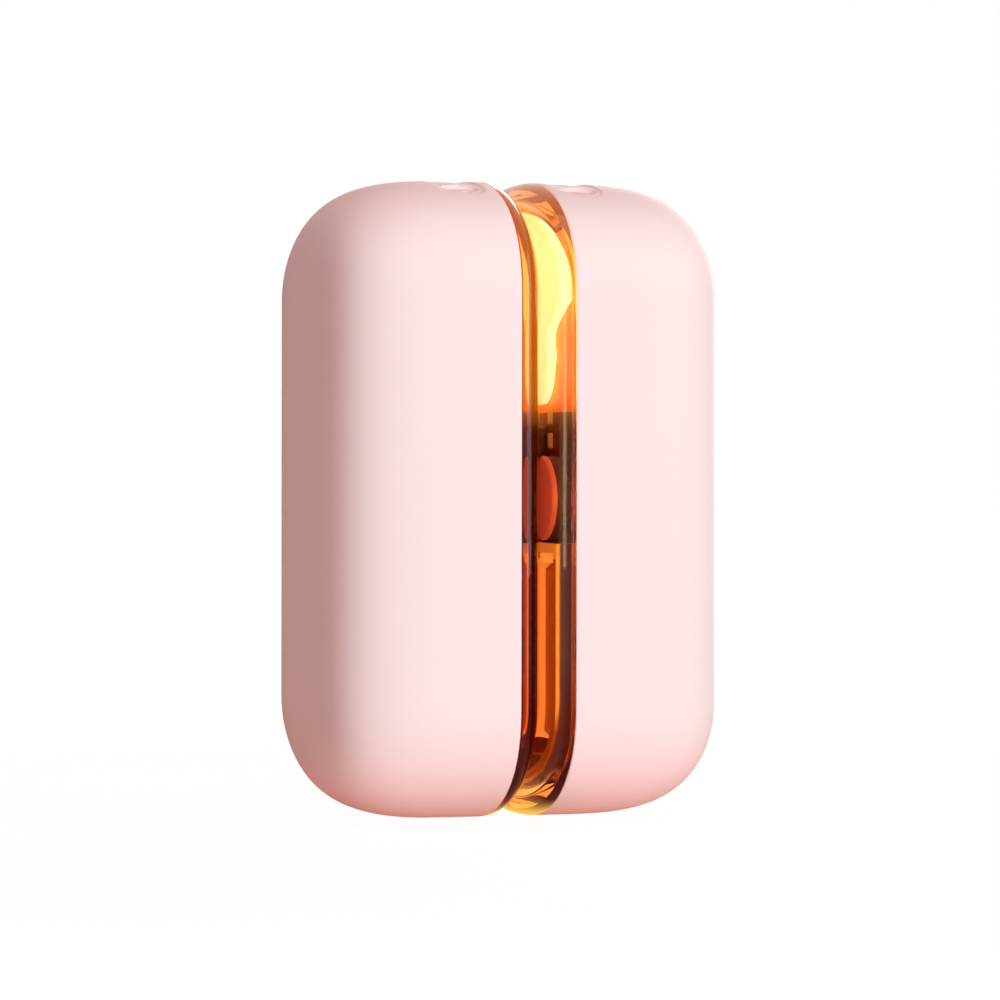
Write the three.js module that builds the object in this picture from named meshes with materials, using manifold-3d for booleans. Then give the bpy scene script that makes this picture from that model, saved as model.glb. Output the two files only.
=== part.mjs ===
// A pair of rechargeable hand warmers, held face to face by magnets.
// Both units are alike; the left one is the right one turned half a turn about Z.
// Millimetres. +Z is up, X runs from one palm side to the other, Y along the width of a unit.
// The origin is the middle of the pair, on the surface that it stands on.
// Each piece is drawn in its unit's frame, where X is the distance from the mating plane.

import * as THREE from 'three';
import { mergeVertices } from 'three/addons/utils/BufferGeometryUtils.js';
import Module from 'manifold-3d';

const wasm = await Module();
wasm.setup();

// Driving sizes of one unit
const unitHeight = 92;
const unitWidth = 51;
const unitDepth = 28.5; // mating plane to the crown of the palm side
const footCut = 0.2; // the round lower end is cut flat by this much
const pairGap = 0.3; // between the two mating faces
const gap = 0.3; // clearance between pieces that seat on each other
const overrun = 1; // how far a cutter passes the face that it cuts
const weld = 0.0001; // vertices closer than this are one

// Form of the housing: curved ends, a pillowed palm side and a rounded mating side
const endCurve = 17.4;
const endPower = 2.27;
const leastCurve = 0.6;
const palmInset = 18.6;
const palmStart = 6;
const palmRise = unitDepth - palmStart;
const palmPower = 3.63;
const mateInset = 6.5;
const mateRise = 3.9;
const partingDepth = 3.9; // the cover ends and the palm shell starts here
const wall = 1.9;

// Facets: the outer surfaces are fine, the inner ones plainer
const fine = { arc: 9, palm: 8, mate: 5 };
const plain = { arc: 6, palm: 5, mate: 4 };
const roundSteps = 20;
const smallSteps = 10;
const cornerSteps = 1;
const leadSides = 3;
const leadSteps = 8;

// Clear cover on the mating side
const coverFace = 1.8;
const coverLipReach = 1.45; // how far the lip enters the palm shell
const coverLipWall = 1.2;
const coverInnerInset = 4.2; // inner rounding, across and deep
const coverInnerRise = 2;

// Layers behind the cover, measured from the mating plane
const layerFront = 3; // rim of the battery bay and face of the light panel
const boardFront = 5.8;
const boardThick = 1.2;
const deckThick = 1.2;
const boardMargin = 0.7; // board edge to the inside of the palm shell
const deckMargin = 0.4;

// Battery bay, a cup on the lower end of the chassis
const bayHeightShare = 0.4326; // base to rim, of the height
const bayHeight = unitHeight * bayHeightShare;
const bayMargin = 4.5; // its outer wall to the outline of the housing
const bayWall = 1.4;
const cellThickShare = 0.2807; // of the depth
const cellThick = unitDepth * cellThickShare;
const cellSetback = 0.6; // cell behind the rim
const cellSideRoom = 2.2;
const cellFootRoom = 5.3; // below the cells, over the socket
const cellCorner = 2.5;
const cellSoftEdge = 0.8;
const cellSeam = 1.1; // thickness of the sealed edge
const cellSeamReach = 1.2;
const cellRib = 6; // height of the ribs that centre the cells
const bayTail = 0.7; // bay wall past the rear cell

// Boards
const boardWindow = 19.9; // board left open between the bay and the light panel
const boardFootRoom = 1.1; // bay rim to the lower edge of the board
const boardHeadRoom = 7.6; // upper edge of the board to the top
const chipRise = 0.8;
const chipWide = 1.1;
const chipTall = 2.2;
const chipPitch = 3.5;
const smallCorner = 0.3; // on chips, and on the edge of the magnets
const chipInnerSpread = 10;
const chipOuterMargin = 4.3; // outer chips to the outline
const controllerSize = 5;
const controllerRise = 0.9;
const controllerSpread = 4.5;
const coilSize = 6;
const coilRise = 2.7;
const coilCorner = 1.4;
const coilSpread = 3.2;
const lampSize = 3.5;
const lampRise = 1;
const lampDrop = 20; // centre below the top

// Light panel in front of the upper board
const panelMargin = 4.6;
const panelThick = 1.2;
const panelPegRadius = 1.2;
const panelPegShare = 0.343; // of the width, from the middle
const panelPegSpread = unitWidth * panelPegShare;
const panelPegRise = 4.5; // pegs above the lower edge of the panel

// Magnets
const magnetShare = 0.1176; // radius, of the width
const magnetRadius = unitWidth * magnetShare;
const magnetThick = 2.8;
const magnetMarginShare = 0.22; // centre to the side of the housing, of the width
const magnetMargin = unitWidth * magnetMarginShare;
const magnetLift = 0.4; // over the rim of the bay

// Screws that hold the board and the chassis on the bosses of the palm shell
const screwHeadRadius = 1.75;
const screwHeadRise = 1;
const screwRadius = 0.8;
const screwReach = 5; // into the boss
const screwSocket = 0.7;
const screwSocketDepth = 0.5;
const bossRadius = 2.4;
const screwUpperShare = 0.294; // of the width, from the middle
const screwUpperSpread = unitWidth * screwUpperShare;
const screwUpperDrop = 12;
const screwLowerLift = 3.7; // over the rim of the bay

// Recess in the upper end, with the power button and the indicator
const recessDepth = 1.2;
const recessSaddle = 0.2; // depth round the button, in the middle of the recess
const saddleHalf = 8.4;
const recessFloor = 1.7;
const recessCentre = 8.9; // from the mating plane
const recessWide = 6.9;
const recessLong = 31;
const recessFlare = 0.6;
const recessPadMargin = 1.4;
const buttonRadius = 2.4;
const buttonProud = 0.1; // over the saddle of the recess
const buttonDish = 0.35;
const buttonEdge = 0.4;
const buttonFlange = 3;
const buttonFlangeThick = 0.8;
const buttonStemRadius = 1;
const buttonStem = 1.1;
const buttonTravel = 0.45;
const pipeRadius = 0.6;
const pipeFlange = 1.4;
const pipeFlangeThick = 0.7;
const pipeSpread = 11.2; // from the button along the recess
const pipeShift = 1; // towards the mating side
const pipeTail = 2.6;

// Switch under the button
const switchHigh = 3.5;
const switchWide = 6;
const switchDeep = 3.2;
const plungerRadius = 0.9;
const plungerProud = 0.7;
const plungerLong = 1.7;

// Charging socket in the lower end
const socketWide = 8.94;
const socketThick = 3.16;
const socketLong = 7.3;
const socketWall = 0.3;
const socketSetback = 0.4;
const tongueWide = 6.7;
const tongueThick = 0.7;
const tongueSetback = 0.6;
const tongueBase = 1.2;
const socketBoardWide = 16;
const socketBoardTall = 5.8;
const socketBoardLift = 2.9;
const cradleWide = 1.4;
const cradleDeep = 5;

// Wiring
const leadRadius = 0.55;
const leadSpreadShare = 0.0863; // of the width, from the middle
const leadSpread = unitWidth * leadSpreadShare;
const leadPitch = 2;
const leadRise = 3; // over the lower edge of the board
const flexThick = 0.25;
const flexWide = 4;
const flexSpread = 5;
const flexLand = 1.9;

// Heating side
const spreaderThick = 0.8;
const filmThick = 0.25;
const filmRoom = 0.8; // the tray is slightly crowned behind the flat film
const filmWideShare = 0.47; // of the width
const filmWide = unitWidth * filmWideShare;
const filmTallShare = 0.652; // of the height
const filmTall = unitHeight * filmTallShare;
const filmCorner = 3;
const filmLiftShare = 0.163;
const filmLift = unitHeight * filmLiftShare;
const filmTailWide = 4;
const filmTailSpread = 4.5;
const foamWide = filmWide;
const foamTall = 21;
const foamCorner = 2;
const pressRibWide = 1.2;
const pressRibTall = 24;
const pressRibSpread = 9;
const thermistorWide = 2.4;
const thermistorTall = 3.6;
const thermistorRise = 1.1;
const thermistorSpread = 4;
const ledgeWide = 1.6;
const ledgeThick = 1.2;
const ledgeReachShare = 0.456; // of the depth
const ledgeReach = unitDepth * ledgeReachShare;
const ledgeLift = 4.8; // over the lower edge of the board
const ledgePitchShare = 0.2565; // of the height
const ledgePitch = unitHeight * ledgePitchShare;

// Planes that follow from the sizes above
const middleHeight = (unitHeight - footCut) / 2;
const coverBack = partingDepth - gap / 2;
const shellFront = partingDepth + gap / 2;
const coverInside = pairGap / 2 + coverFace;
const lipEnd = shellFront + coverLipReach;
const lipInset = wall + gap;
const boardBack = boardFront + boardThick;
const deckFront = boardBack + gap;
const deckBack = deckFront + deckThick;
const partFront = boardFront - gap; // what sits on the front of the board ends here
const boardBottom = bayHeight + boardFootRoom;
const boardTop = unitHeight - boardHeadRoom;
const panelBottom = bayHeight + boardWindow;
const panelBack = layerFront + panelThick;
const bayBottomWall = bayHeight - bayWall;
const bayInnerMargin = bayMargin + bayWall;
const cellFront = layerFront + cellSetback;
const cellTop = bayBottomWall - gap;
const cellBottom = bayInnerMargin - footCut + cellFootRoom;
const cellHalf = unitWidth / 2 - bayInnerMargin - cellSideRoom;
const rearCellFront = cellFront + cellThick + gap;
const rearCellBack = rearCellFront + cellThick;
const bayBack = rearCellBack + bayTail;
const magnetSpread = unitWidth / 2 - magnetMargin;
const magnetHeight = bayHeight + magnetLift + magnetRadius;
const magnetBack = boardFront - gap;
const magnetFront = magnetBack - magnetThick;
const spreaderOffset = wall + gap;
const spreaderInner = unitDepth - spreaderOffset - spreaderThick;
const filmBack = spreaderInner - filmRoom;
const filmFront = filmBack - filmThick;
const spreaderStart = bayBack + gap; // the skirt of the tray begins behind the bay
const foamFront = rearCellBack + gap;
const foamBack = filmFront - gap;
const recessTop = unitHeight - recessDepth;
const padUnder = recessTop - recessFloor;
const buttonTop = unitHeight - recessSaddle + buttonProud;
const flangeTop = padUnder - gap;
const flangeUnder = flangeTop - buttonFlangeThick;
const stemEnd = flangeUnder - buttonStem;
const plungerTop = stemEnd - gap;
const plungerWell = plungerLong - plungerProud + buttonTravel + gap;
const switchTop = plungerTop - plungerProud;
const switchBottom = switchTop - switchHigh;
const switchBack = deckFront + switchDeep;
const socketCentre = boardBack + gap + socketThick / 2;
const socketTop = socketSetback + socketLong;
const socketBoardTop = socketBoardLift + socketBoardTall;
const screwHeadBack = boardFront - gap;
const screwHeadFront = screwHeadBack - screwHeadRise;
const bossFront = deckBack + gap;
const screwEnd = bossFront + screwReach;
const chipHeights = [boardBottom + chipPitch / 2, boardBottom + chipPitch * 3 / 2];
const windowChipHeights = [panelBottom - chipPitch * 3 / 2, panelBottom - chipPitch / 2];
const partRow = panelBottom - coilSize;
const leadFront = partFront - leadRadius;
const filmTop = filmLift + filmTall;
const ledgeHeight = boardBottom + ledgeLift;

const screwPlaces = [
  [-screwUpperSpread, unitHeight - screwUpperDrop],
  [screwUpperSpread, unitHeight - screwUpperDrop],
  [0, bayHeight + screwLowerLift],
];

// Solids from closed geometries, and back
function solid(geometry) {
  const bare = geometry.clone();
  bare.deleteAttribute('normal');
  bare.deleteAttribute('uv');
  const merged = mergeVertices(bare, weld);
  const corners = merged.index.array;
  const kept = [];
  for (let i = 0; i < corners.length; i += 3) {
    const [a, b, c] = corners.slice(i, i + 3);
    if (a !== b && b !== c && c !== a) kept.push(a, b, c);
  }
  const points = merged.attributes.position.array;
  if (signedVolume(points, kept) < 0) kept.reverse();
  return new wasm.Manifold(new wasm.Mesh({
    numProp: 3,
    vertProperties: new Float32Array(points),
    triVerts: new Uint32Array(kept),
  }));
}

function geometryOf(body) {
  const mesh = body.getMesh();
  const geometry = new THREE.BufferGeometry();
  geometry.setAttribute('position', new THREE.BufferAttribute(mesh.vertProperties, 3));
  geometry.setIndex(new THREE.BufferAttribute(mesh.triVerts, 1));
  geometry.computeVertexNormals();
  return geometry;
}

function signedVolume(points, faces) {
  const corner = (i) => new THREE.Vector3().fromArray(points, faces[i] * 3);
  let sum = 0;
  for (let i = 0; i < faces.length; i += 3) {
    sum += corner(i).dot(corner(i + 1).cross(corner(i + 2)));
  }
  return sum / 6;
}

function joined(parts) {
  return parts.reduce((sum, part) => sum.add(part));
}

function cut(body, cutters) {
  return cutters.reduce((rest, cutter) => rest.subtract(cutter), body);
}

// Simple solids
function block(x0, x1, y0, y1, z0, z1) {
  const box = new THREE.BoxGeometry(x1 - x0, y1 - y0, z1 - z0);
  box.translate((x0 + x1) / 2, (y0 + y1) / 2, (z0 + z1) / 2);
  return solid(box);
}

function rodAlongX(radius, x0, x1, y, z, steps = smallSteps) {
  const rod = new THREE.CylinderGeometry(radius, radius, x1 - x0, steps);
  rod.rotateZ(-Math.PI / 2);
  rod.translate((x0 + x1) / 2, y, z);
  return solid(rod);
}

function rodAlongZ(radius, x, y, z0, z1, steps = smallSteps) {
  const rod = new THREE.CylinderGeometry(radius, radius, z1 - z0, steps);
  rod.rotateX(Math.PI / 2);
  rod.translate(x, y, (z0 + z1) / 2);
  return solid(rod);
}

// A profile of [radius, height] pairs turned about a vertical axis
function turned(profile, x, y, steps = roundSteps) {
  const points = profile.map(([radius, height]) => new THREE.Vector2(radius, height));
  const lathe = new THREE.LatheGeometry(points, steps);
  lathe.rotateX(Math.PI / 2);
  lathe.translate(x, y, 0);
  return solid(lathe);
}

// The same about an axis along X: pairs of [radius, distance from the mating plane]
function turnedAlongX(profile, y, z, steps = roundSteps) {
  const points = profile.map(([radius, x]) => new THREE.Vector2(radius, x));
  const lathe = new THREE.LatheGeometry(points, steps);
  lathe.rotateZ(-Math.PI / 2);
  lathe.translate(0, y, z);
  return solid(lathe);
}

function roundedShape(width, height, corner) {
  const shape = new THREE.Shape();
  const w = width / 2;
  const h = height / 2;
  shape.moveTo(-w + corner, -h);
  shape.lineTo(w - corner, -h);
  shape.absarc(w - corner, -h + corner, corner, -Math.PI / 2, 0, false);
  shape.lineTo(w, h - corner);
  shape.absarc(w - corner, h - corner, corner, 0, Math.PI / 2, false);
  shape.lineTo(-w + corner, h);
  shape.absarc(-w + corner, h - corner, corner, Math.PI / 2, Math.PI, false);
  shape.lineTo(-w, -h + corner);
  shape.absarc(-w + corner, -h + corner, corner, Math.PI, Math.PI * 3 / 2, false);
  return shape;
}

// A shape drawn in Y and Z, given thickness along X
function plate(shape, x0, x1, y, z, bevel = 0) {
  const body = new THREE.ExtrudeGeometry(shape, {
    depth: x1 - x0 - 2 * bevel,
    curveSegments: cornerSteps,
    bevelEnabled: bevel > 0,
    bevelThickness: bevel,
    bevelSize: bevel,
    bevelOffset: -bevel,
    bevelSegments: 1,
  });
  const turn = new THREE.Matrix4().makeBasis(
    new THREE.Vector3(0, 1, 0),
    new THREE.Vector3(0, 0, 1),
    new THREE.Vector3(1, 0, 0),
  );
  body.applyMatrix4(turn);
  body.translate(x0 + bevel, y, z);
  return solid(body);
}

// A shape drawn in X and Y, given height along Z
function post(shape, x, y, z0, z1) {
  const body = new THREE.ExtrudeGeometry(shape, {
    depth: z1 - z0,
    curveSegments: 2 * cornerSteps,
    bevelEnabled: false,
  });
  body.translate(x, y, z0);
  return solid(body);
}

// A round lead along a smooth path through the points
function lead(points, radius) {
  const section = new THREE.Shape().absarc(0, 0, radius, 0, Math.PI * 2, false);
  const path = new THREE.CatmullRomCurve3(points);
  return solid(new THREE.ExtrudeGeometry(section, {
    steps: leadSteps,
    curveSegments: leadSides,
    extrudePath: path,
  }));
}

// A folded strip: its centre line in X and Z, given thickness, then width along Y
function strip(line, thick, y0, y1) {
  const turns = line.map((point, i) => {
    const before = point.clone().sub(line[Math.max(i - 1, 0)]).normalize();
    const after = line[Math.min(i + 1, line.length - 1)].clone().sub(point).normalize();
    const from = i === 0 ? after : before;
    const to = i === line.length - 1 ? before : after;
    const side = new THREE.Vector2(-from.y - to.y, from.x + to.x);
    return side.multiplyScalar(thick / 2 / (1 + from.dot(to)));
  });
  const left = line.map((point, i) => point.clone().add(turns[i]));
  const right = line.map((point, i) => point.clone().sub(turns[i])).reverse();
  const body = new THREE.ExtrudeGeometry(new THREE.Shape([...left, ...right]), {
    depth: y1 - y0,
    bevelEnabled: false,
  });
  body.rotateX(Math.PI / 2);
  body.translate(0, y1, 0);
  return solid(body);
}

// Outline of the housing, moved inwards by an inset: straight sides and superelliptic ends
function outline(inset, facets) {
  const halfWidth = unitWidth / 2 - inset;
  const halfHeight = (unitHeight + footCut) / 2 - inset;
  const curve = Math.max(endCurve - inset, leastCurve);
  const points = [];
  for (const end of [1, -1]) {
    for (let i = 0; i <= 2 * facets.arc; i += 1) {
      const angle = (i / facets.arc) * (Math.PI / 2);
      const across = Math.cos(angle) * end;
      const along = Math.sin(angle);
      const y = Math.sign(across) * halfWidth * Math.abs(across) ** (2 / endPower);
      const z = end * (halfHeight - curve + curve * along ** (2 / endPower));
      points.push(new THREE.Vector2(y, middleHeight + z));
    }
  }
  return points;
}

// A closed solid through rings of points, each counterclockwise seen from the last one's side
function skinned(rings) {
  const count = rings[0].length;
  const points = rings.flat();
  const faces = [];
  for (let r = 0; r + 1 < rings.length; r += 1) {
    for (let i = 0; i < count; i += 1) {
      const a = r * count + i;
      const b = r * count + ((i + 1) % count);
      faces.push(a, b, b + count, a, b + count, a + count);
    }
  }
  for (const [ring, first] of [[rings[0], 0], [rings.at(-1), points.length - count]]) {
    const centre = points.length;
    const sum = ring.reduce((total, point) => total.add(point), new THREE.Vector3());
    points.push(sum.divideScalar(count));
    for (let i = 0; i < count; i += 1) {
      const a = first + i;
      const b = first + ((i + 1) % count);
      faces.push(...(first === 0 ? [centre, b, a] : [centre, a, b]));
    }
  }
  const geometry = new THREE.BufferGeometry().setFromPoints(points);
  geometry.setIndex(faces);
  return solid(geometry);
}

// A solid through rings of the outline, from pairs of [distance from the mating plane, inset]
function loft(sections, facets = plain) {
  return skinned(sections.map(([x, inset]) => (
    outline(inset, facets).map((p) => new THREE.Vector3(x, p.x, p.y))
  )));
}

// Rings of the pillowed palm side, or of a surface parallel to it
function palmSections(start, offset, facets = plain) {
  const base = unitDepth - offset - palmRise;
  const part = Math.min(Math.max((start - base) / palmRise, 0), 1);
  const startInset = offset + palmInset * (1 - (1 - part ** palmPower) ** (1 / palmPower));
  const sections = [[start, startInset]];
  for (let i = 0; i <= facets.palm; i += 1) {
    const angle = (i / facets.palm) * (Math.PI / 2);
    const x = base + palmRise * Math.sin(angle) ** (2 / palmPower);
    const inset = offset + palmInset * (1 - Math.cos(angle) ** (2 / palmPower));
    if (x > start + leastCurve / 4) sections.push([x, inset]);
  }
  return sections;
}

// Rings of the rounding on the mating side, from its flat face outwards
function mateSections(face, rise, inset, offset, facets = plain) {
  const sections = [];
  for (let i = 0; i <= facets.mate; i += 1) {
    const angle = (i / facets.mate) * (Math.PI / 2);
    sections.push([face + rise * (1 - Math.cos(angle)), offset + inset * (1 - Math.sin(angle))]);
  }
  return sections;
}

// Height of the curved upper end over a place across the unit, at an inset
function endHeight(y, inset) {
  const halfWidth = unitWidth / 2 - inset;
  const curve = Math.max(endCurve - inset, leastCurve);
  const rise = (1 - Math.min(Math.abs(y) / halfWidth, 1) ** endPower) ** (1 / endPower);
  return unitHeight - inset - curve * (1 - rise);
}

function slab(x0, x1, inset) {
  return loft([[x0, inset], [x1, inset]]);
}

// Room above or below a height, wide enough to trim any piece
function above(z) {
  return block(-unitDepth, 2 * unitDepth, -unitWidth, unitWidth, z, 2 * unitHeight);
}

function below(z) {
  return block(-unitDepth, 2 * unitDepth, -unitWidth, unitWidth, -unitHeight, z);
}

function screwHoles(radius, x0, x1) {
  return screwPlaces.map(([y, z]) => rodAlongX(radius, x0, x1, y, z));
}

// Oblong recess with flared walls, shallow round the button and scooped out at both ends
function recessCutter() {
  const levels = [
    [middleHeight, 0],
    [recessTop, 0],
    [unitHeight + overrun, recessFlare * (recessDepth + overrun) / recessDepth],
  ];
  const rings = levels.map(([z, grow]) => {
    const wide = recessWide + 2 * (grow - recessFlare);
    const long = recessLong + 2 * (grow - recessFlare);
    const points = roundedShape(wide, long, wide / 2 - weld).getPoints(2 * cornerSteps);
    if (points[0].distanceTo(points.at(-1)) < weld) points.pop();
    return points.map((p) => new THREE.Vector3(recessCentre + p.x, p.y, z));
  });
  const saddle = loft(palmSections(shellFront - 2 * overrun, recessSaddle, fine), fine)
    .intersect(block(0, unitDepth, -saddleHalf, saddleHalf, middleHeight, unitHeight));
  const floor = loft(palmSections(shellFront - 2 * overrun, recessDepth)).add(saddle);
  return skinned(rings).subtract(floor);
}

// Thicker wall under the recess
function recessPad() {
  const wide = recessWide + 2 * recessPadMargin;
  const long = recessLong + 2 * recessPadMargin;
  const column = post(roundedShape(wide, long, wide / 2 - weld), recessCentre, 0, middleHeight, unitHeight);
  const behindLip = block(lipEnd + gap, unitDepth, -unitWidth, unitWidth, 0, unitHeight);
  const outside = loft(palmSections(shellFront, wall / 2));
  const inside = loft(palmSections(shellFront - overrun, recessDepth + recessFloor));
  return column.intersect(behindLip).intersect(outside).subtract(inside);
}

// Ribs on the side walls that carry the edge of the deck
function deckLedges() {
  const ledges = [];
  for (const side of [-1, 1]) {
    const edge = side * (unitWidth / 2 - wall);
    const ends = [edge - side * ledgeWide, edge + side * wall / 2];
    for (const z of [ledgeHeight, ledgeHeight + ledgePitch]) {
      ledges.push(block(
        bossFront, bossFront + ledgeReach, Math.min(...ends), Math.max(...ends), z, z + ledgeThick,
      ));
    }
  }
  return ledges;
}

// Two ribs over the lower end that carry the socket board
function socketCradles() {
  return [-1, 1].map((side) => {
    const middle = side * (socketBoardWide - cradleWide) / 2;
    return block(
      boardBack + gap, boardBack + gap + cradleDeep,
      middle - cradleWide / 2, middle + cradleWide / 2, wall / 2, socketBoardTop,
    );
  });
}

// Soft-touch housing half that fills the palm
function palmShell() {
  const outer = loft(palmSections(shellFront, 0, fine), fine);
  const inner = loft(palmSections(shellFront - overrun, wall));
  const core = loft(palmSections(shellFront, wall / 2));
  const bosses = screwHoles(bossRadius, bossFront, unitDepth);
  const ribs = [...bosses, ...deckLedges(), ...socketCradles()].map((rib) => rib.intersect(core));
  const slotWide = socketWide + 2 * gap;
  const slotThick = socketThick + 2 * gap;
  const slot = post(
    roundedShape(slotThick, slotWide, slotThick / 2 - weld), socketCentre, 0, -overrun, socketTop,
  );
  const buttonHole = rodAlongZ(
    buttonRadius + gap, recessCentre, 0, padUnder - overrun, unitHeight + overrun, roundSteps,
  );
  const pipeHole = rodAlongZ(
    pipeRadius + gap, recessCentre - pipeShift, pipeSpread, padUnder - pipeTail, unitHeight + overrun,
  );
  const buttonSeat = rodAlongZ(
    buttonFlange + gap, recessCentre, 0, flangeUnder, padUnder, roundSteps,
  );
  const pipeSeat = rodAlongZ(
    pipeFlange + gap, recessCentre - pipeShift, pipeSpread, pipeFlangeTop() - overrun, pipeFlangeTop() + gap,
  );
  const body = joined([outer.subtract(inner), recessPad(), ...ribs]);
  return cut(body, [
    recessCutter(), slot, buttonHole, buttonSeat, pipeHole, pipeSeat, below(0),
    ...screwHoles(screwRadius + gap, bossFront - overrun, screwEnd + gap),
  ]);
}

// Clear amber cover, rounded towards its flat mating face, with a lip that enters the palm shell
function clearCover() {
  const lipInner = lipInset + coverLipWall;
  const skin = loft(mateSections(pairGap / 2, mateRise, mateInset, 0, fine), fine)
    .intersect(block(0, coverBack, -unitWidth, unitWidth, 0, 2 * unitHeight));
  const lip = slab(coverBack - gap, lipEnd, lipInset);
  const hollow = loft([
    ...mateSections(coverInside, coverInnerRise, coverInnerInset, lipInner),
    [lipEnd + overrun, lipInner],
  ]);
  return cut(skin.add(lip), [hollow, below(0)]);
}

// Deck for the board, battery bay below it, and two ribs that press the heater down
function chassis() {
  const deck = slab(deckFront, deckBack, wall + deckMargin)
    .intersect(above(bayBottomWall))
    .intersect(below(boardTop));
  const bayOuter = slab(layerFront, bayBack, bayMargin).intersect(below(bayHeight));
  const bayInner = slab(layerFront - overrun, bayBack + overrun, bayInnerMargin)
    .intersect(below(bayBottomWall));
  const pressRibs = [-1, 1].map((side) => block(
    deckBack - deckThick / 2, filmFront - gap,
    side * pressRibSpread - pressRibWide / 2, side * pressRibSpread + pressRibWide / 2,
    boardBottom + pressRibWide, boardBottom + pressRibWide + pressRibTall,
  ));
  const cellMiddle = (cellTop + cellBottom) / 2;
  const cellRibs = [-1, 1].map((side) => {
    const ends = [side * (cellHalf + gap), side * (unitWidth / 2 - bayMargin - bayWall / 2)];
    return block(
      cellFront, rearCellBack, Math.min(...ends), Math.max(...ends),
      cellMiddle - cellRib / 2, cellMiddle + cellRib / 2,
    );
  });
  const socketNotch = block(
    partFront, socketCentre + socketThick / 2 + gap + cradleDeep / 2,
    -socketBoardWide / 2 - 2 * gap, socketBoardWide / 2 + 2 * gap,
    -overrun, socketBoardTop + gap,
  );
  const switchNotch = block(
    deckFront - overrun, switchBack, -switchWide / 2 - gap, switchWide / 2 + gap,
    switchBottom - gap, boardTop + overrun,
  );
  const pipeNotch = block(
    deckFront - overrun, deckBack + overrun,
    pipeSpread - pipeFlange - gap, pipeSpread + pipeFlange + gap,
    pipeBottom() - gap, boardTop + overrun,
  );
  const leadSlot = block(
    leadFront - leadRadius - gap, deckBack + leadRadius + gap,
    -leadSpread - leadPitch - leadRadius - gap, -leadSpread + leadRadius + gap,
    bayBottomWall - overrun, boardBottom,
  );
  const flexNotch = block(
    layerFront - overrun, cellFront, flexSpread - flexWide / 2 - gap, flexSpread + flexWide / 2 + gap,
    bayBottomWall - overrun, bayHeight + overrun,
  );
  const tailSlot = block(
    deckFront - overrun, deckBack + overrun,
    filmTailSpread - filmTailWide / 2 - gap, filmTailSpread + filmTailWide / 2 + gap,
    filmTop - filmThick - gap, filmTop + gap,
  );
  return cut(joined([deck, bayOuter.subtract(bayInner), ...pressRibs, ...cellRibs]), [
    socketNotch, switchNotch, pipeNotch, leadSlot, flexNotch, tailSlot,
    ...screwHoles(screwRadius + gap, deckFront - overrun, deckBack + overrun),
  ]);
}

// Milky panel that spreads the lamp's light behind the upper half of the cover
function lightPanel() {
  const face = slab(layerFront, panelBack, panelMargin).intersect(above(panelBottom));
  const pegs = [
    [-panelPegSpread, panelBottom + panelPegRise],
    [panelPegSpread, panelBottom + panelPegRise],
    [0, boardTop - panelPegRise],
  ].map(([y, z]) => rodAlongX(panelPegRadius, panelBack - panelThick / 2, partFront, y, z));
  return joined([face, ...pegs]);
}

// Main board with its small soldered chips
function mainBoard() {
  const board = slab(boardFront, boardBack, wall + boardMargin)
    .intersect(above(boardBottom))
    .intersect(below(boardTop));
  const chips = [];
  for (const side of [-1, 1]) {
    const rows = [
      [side * chipInnerSpread, windowChipHeights],
      [side * (unitWidth / 2 - chipOuterMargin), chipHeights],
    ];
    for (const [y, heights] of rows) {
      for (const z of heights) {
        chips.push(block(
          boardFront - chipRise, boardFront + boardThick / 2,
          y - chipWide / 2, y + chipWide / 2, z - chipTall / 2, z + chipTall / 2,
        ));
      }
    }
  }
  const holes = screwHoles(screwRadius + gap, boardFront - overrun, boardBack + overrun);
  return cut(joined([board, ...chips]), holes);
}

function socketBoard() {
  return block(
    boardFront, boardBack, -socketBoardWide / 2, socketBoardWide / 2, socketBoardLift, socketBoardTop,
  );
}

// Folded metal shell of the charging socket, open downwards
function socketShell() {
  const shell = post(
    roundedShape(socketThick, socketWide, socketThick / 2 - weld), socketCentre, 0, socketSetback, socketTop,
  );
  const thick = socketThick - 2 * socketWall;
  const wide = socketWide - 2 * socketWall;
  const mouth = post(
    roundedShape(thick, wide, thick / 2 - weld), socketCentre, 0,
    socketSetback - overrun, socketTop - socketWall,
  );
  return shell.subtract(mouth);
}

function socketTongue() {
  const thick = socketThick - 2 * socketWall - 2 * gap;
  const wide = socketWide - 2 * socketWall - 2 * gap;
  const baseTop = socketTop - socketWall - gap;
  const base = post(
    roundedShape(thick, wide, thick / 2 - weld), socketCentre, 0, baseTop - tongueBase, baseTop,
  );
  const tongue = block(
    socketCentre - tongueThick / 2, socketCentre + tongueThick / 2, -tongueWide / 2, tongueWide / 2,
    socketSetback + tongueSetback, baseTop - tongueBase / 2,
  );
  return base.add(tongue);
}

// Pouch cell with soft edges and a sealed seam round it
function cell(front) {
  const tall = cellTop - cellBottom;
  const middle = (cellTop + cellBottom) / 2;
  const pouch = plate(
    roundedShape(2 * (cellHalf - cellSeamReach), tall - 2 * cellSeamReach, cellCorner - cellSeamReach / 2),
    front, front + cellThick, 0, middle, cellSoftEdge,
  );
  const seamFront = front + (cellThick - cellSeam) / 2;
  const seam = plate(
    roundedShape(2 * cellHalf, tall, cellCorner), seamFront, seamFront + cellSeam, 0, middle,
  );
  return pouch.add(seam);
}

function magnet(side) {
  return turnedAlongX([
    [0, magnetFront],
    [magnetRadius - smallCorner, magnetFront],
    [magnetRadius, magnetFront + smallCorner],
    [magnetRadius, magnetBack - smallCorner],
    [magnetRadius - smallCorner, magnetBack],
    [0, magnetBack],
  ], side * magnetSpread, magnetHeight);
}

function switchBody() {
  const body = block(deckFront, switchBack, -switchWide / 2, switchWide / 2, switchBottom, switchTop);
  const well = rodAlongZ(plungerRadius + gap, recessCentre, 0, switchTop - plungerWell, switchTop + overrun);
  return body.subtract(well);
}

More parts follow.
